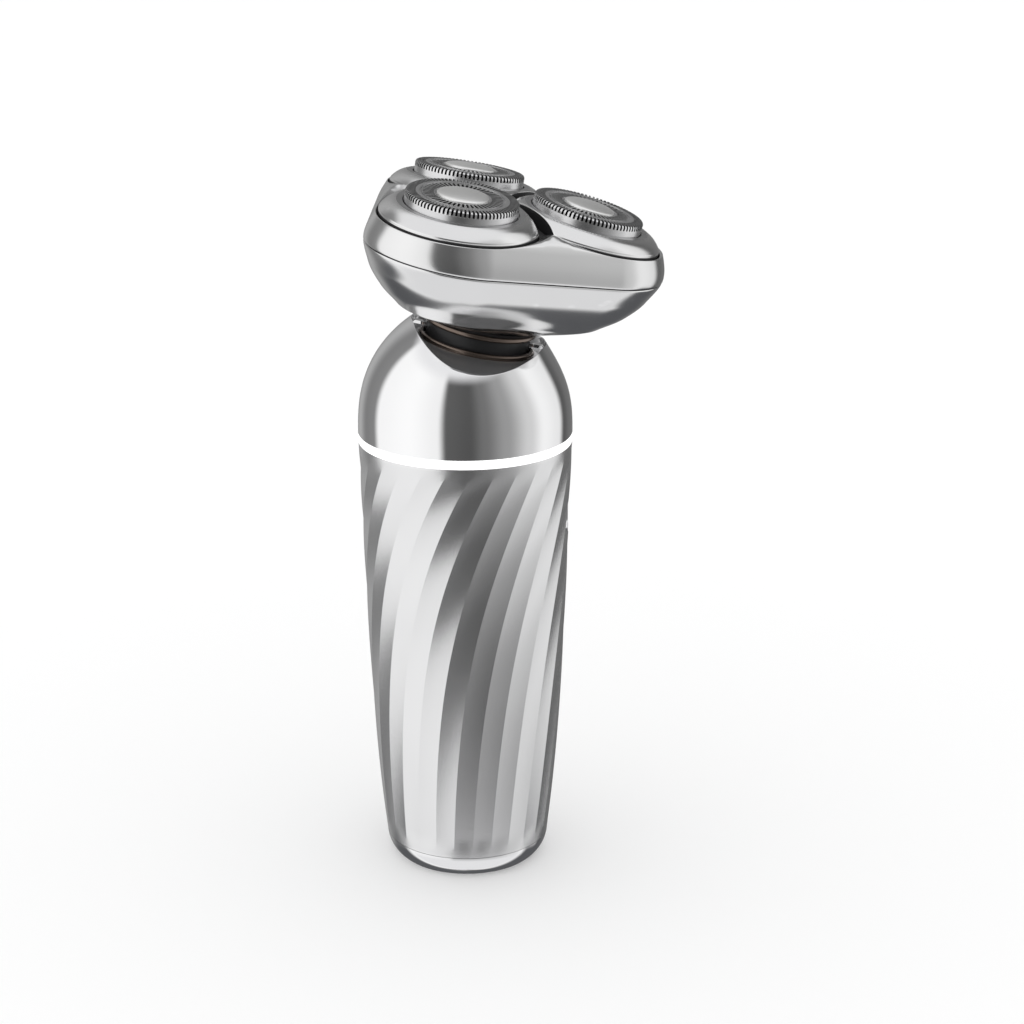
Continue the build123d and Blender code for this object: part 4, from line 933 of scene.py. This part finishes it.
def makeFoil():
    look = cutterLook
    radius, top, rim, thick = look["radius"], look["top"], look["rim"], look["thick"]
    rounds = [math.radians(18 * step) for step in range(6)]
    arc = [(radius - rim + rim * math.sin(a), top - rim + rim * math.cos(a)) for a in rounds]
    outline = [(look["outerStart"] - look["overlap"], top)] + arc + [(radius, look["skirt"] - look["overlap"])]
    back = [(radius - thick, look["skirt"] - look["overlap"]), (radius - thick, top - rim),
            (radius - rim, top - thick), (look["outerStart"] - look["overlap"], top - thick)]
    outer = barMesh("outerBars", outline + back, look["outerSlots"], look["outerSlotWidth"])
    runTree(outer, repeatTree,
            {"Count": look["outerSlots"], "Start Angle": 0.0, "Material": materials["blade_steel"]})
    start, finish = look["innerStart"] - look["overlap"], look["innerEnd"] + look["overlap"]
    inner = barMesh("innerBars", [(start, top), (finish, top), (finish, top - thick), (start, top - thick)],
                    look["innerSlots"], look["innerSlotWidth"])
    runTree(inner, repeatTree,
            {"Count": look["innerSlots"], "Start Angle": look["innerTurn"], "Material": materials["blade_steel"]})
    wide, rise, fall = look["flange"]
    skirt = localTurned("foilSkirt", softened([
        (radius, look["skirt"]), (radius, rise), (wide, rise), (wide, fall), (radius - look["wall"], fall),
        (radius - look["wall"], look["skirt"]), (radius, look["skirt"])], 0.06, 2))
    near, far, deep = look["groove"]
    middle = localTurned("foilMiddle", softened([
        (look["outerStart"], top), (look["outerStart"], top - look["wall"]), (look["innerEnd"], top - look["wall"]),
        (look["innerEnd"], top), (near, top), (near, top - deep), (far, top - deep), (far, top),
        (look["outerStart"], top)], 0.05, 2))
    near, far, deep = look["capSeat"]
    centre = localTurned("foilCentre", softened([
        (look["innerStart"], top), (look["innerStart"], top - look["wall"]), (near, top - look["wall"]),
        (near, top - deep), (far, top - deep), (far, top), (look["innerStart"], top)], 0.05, 2))
    return joined("foil", [outer, inner, skirt, middle, centre])


def placeOnPetal(source, name, number):
    origin, outward, across, axis = petalFrames[number]
    mesh = source.data.copy()
    mesh.name = name
    turn = Matrix((outward, across, axis)).transposed().to_4x4()
    mesh.transform(Matrix.Translation(origin) @ turn)
    return makeObject(name, mesh)


capProfile = [(0.0, 3.22), (1.5, 3.19), (3.0, 3.09), (4.3, 2.92), (4.9, 2.80), (5.2, 2.68), (5.38, 2.52),
              (5.42, 2.35), (5.42, 2.0), (4.8, 1.9), (4.8, 1.8), (0.0, 1.8)]
foil = makeFoil()
cap = localTurned("cap", capProfile, 96)
for number in range(3):
    piece = placeOnPetal(foil, f"cutterFoil{number + 1}", number)
    claim(piece, f"petal_{number + 1}", f"outer_cutter_{number + 1}", materials["blade_steel"])
    # second finish, near black: painted shade for the walls between the bars
    piece.data.materials.append(materials["inner_blade_painted_shade"])
    origin, axis = petalFrames[number][0], petalFrames[number][3]
    for face in piece.data.polygons:
        # the walls between two bars are in shadow: painted shade in the near-black finish
        away = face.center - origin
        sideways = abs(face.normal.dot(axis.cross(away).normalized()))
        if sideways > 0.8 and away.dot(axis) > cutterLook["skirt"] * mm:
            face.material_index = 1
    button = placeOnPetal(cap, f"cutterCap{number + 1}", number)
    claim(button, f"petal_{number + 1}", f"cutter_cap_{number + 1}", materials["cap_satin"])
bpy.data.objects.remove(foil)
bpy.data.objects.remove(cap)
print("cutters made")

# studio
studioLook = dict(
    cameraPlace=(-0.5493, -0.0292, 0.2610), cameraTurn=(71.7, 0.0, -88.0), lens=93.9, floorSize=6.0,
    surround=((-180, 0.22), (-150, 0.42), (-128, 0.22), (-112, 0.24), (-101, 1.0), (-60, 1.05),
              (-27, 0.95), (-17, 0.11), (8, 0.09), (24, 0.17), (48, 0.33), (76, 0.66),
              (96, 0.95), (122, 0.85), (134, 0.10), (152, 0.16), (180, 0.22)),
)


def makeStudio():
    scene = bpy.context.scene
    camera = bpy.data.objects.new("camera", bpy.data.cameras.new("camera"))
    scene.collection.objects.link(camera)
    camera.location = studioLook["cameraPlace"]
    camera.rotation_euler = [math.radians(angle) for angle in studioLook["cameraTurn"]]
    camera.data.lens = studioLook["lens"]
    camera.data.clip_start = 0.01
    scene.camera = camera
    scene.view_settings.view_transform = "Standard"

    size = studioLook["floorSize"]
    mesh = bpy.data.meshes.new("floor")
    mesh.from_pydata([(-size, -size, 0), (size, -size, 0), (size, size, 0), (-size, size, 0)], [], [(0, 1, 2, 3)])
    floor = makeObject("floor", mesh)
    plain = bpy.data.materials.new("floorWhite")
    plain.use_nodes = True
    plain.node_tree.nodes["Principled BSDF"].inputs["Base Color"].default_value = (0.95, 0.95, 0.95, 1)
    plain.node_tree.nodes["Principled BSDF"].inputs["Roughness"].default_value = 0.9
    floor.data.materials.append(plain)
    floor.visible_glossy = False

    # soft light all round; shiny parts see tall soft panels with dark gaps between them
    world = bpy.data.worlds.new("studio")
    scene.world = world
    world.use_nodes = True
    nodes, links = world.node_tree.nodes, world.node_tree.links
    nodes.clear()
    place = nodes.new("ShaderNodeTexCoord")
    parts = nodes.new("ShaderNodeSeparateXYZ")
    links.new(place.outputs["Generated"], parts.inputs[0])
    # turn from the camera's side of the object, -1 to 1, growing to the right of the view
    turn = calc(world.node_tree, "ARCTAN2", calc(world.node_tree, "MULTIPLY", parts.outputs["Y"], -1.0),
                calc(world.node_tree, "MULTIPLY", parts.outputs["X"], -1.0))
    share = calc(world.node_tree, "MULTIPLY_ADD", turn, 0.5 / math.pi, 0.5)
    panels = nodes.new("ShaderNodeValToRGB")
    panels.color_ramp.interpolation = "EASE"
    stops = panels.color_ramp.elements
    for index, (angle, value) in enumerate(studioLook["surround"]):
        spot = angle / 360 + 0.5
        stop = stops[index] if index < 2 else stops.new(spot)
        stop.position = spot
        stop.color = (value, value, value, 1)
    links.new(share, panels.inputs["Fac"])
    above = nodes.new("ShaderNodeMapRange")
    above.interpolation_type = "SMOOTHSTEP"
    above.inputs["From Min"].default_value = 0.64
    above.inputs["From Max"].default_value = 0.80
    links.new(parts.outputs["Z"], above.inputs["Value"])
    over = nodes.new("ShaderNodeMix")
    over.data_type = "RGBA"
    over.inputs["B"].default_value = (0.86, 0.86, 0.87, 1)
    links.new(above.outputs["Result"], over.inputs["Factor"])
    links.new(panels.outputs["Color"], over.inputs["A"])
    # the floor is bright towards the camera and dark behind the object
    def slope(source, low, high):
        ramp = nodes.new("ShaderNodeMapRange")
        ramp.interpolation_type = "SMOOTHSTEP"
        ramp.inputs["From Min"].default_value = low
        ramp.inputs["From Max"].default_value = high
        links.new(parts.outputs[source], ramp.inputs["Value"])
        return ramp.outputs["Result"]

    def tinted(under, factor, color):
        mix = nodes.new("ShaderNodeMix")
        mix.data_type = "RGBA"
        mix.inputs["B"].default_value = color
        links.new(factor, mix.inputs["Factor"])
        links.new(under, mix.inputs["A"])
        return mix.outputs["Result"]

    nearFloor = calc(world.node_tree, "MULTIPLY", slope("Z", -0.50, -0.74), slope("X", 0.12, -0.08))
    farFloor = calc(world.node_tree, "MULTIPLY", slope("Z", -0.42, -0.62), slope("X", 0.02, 0.26))
    under = tinted(tinted(over.outputs["Result"], nearFloor, (0.82, 0.82, 0.83, 1)), farFloor, (0.10, 0.102, 0.108, 1))
    path = nodes.new("ShaderNodeLightPath")
    seen = nodes.new("ShaderNodeMix")
    seen.data_type = "RGBA"
    seen.inputs["A"].default_value = (1.08, 1.08, 1.08, 1)
    links.new(path.outputs["Is Glossy Ray"], seen.inputs["Factor"])
    links.new(under, seen.inputs["B"])
    light = nodes.new("ShaderNodeBackground")
    end = nodes.new("ShaderNodeOutputWorld")
    links.new(seen.outputs["Result"], light.inputs["Color"])
    links.new(light.outputs[0], end.inputs["Surface"])


makeStudio()
print("studio made")
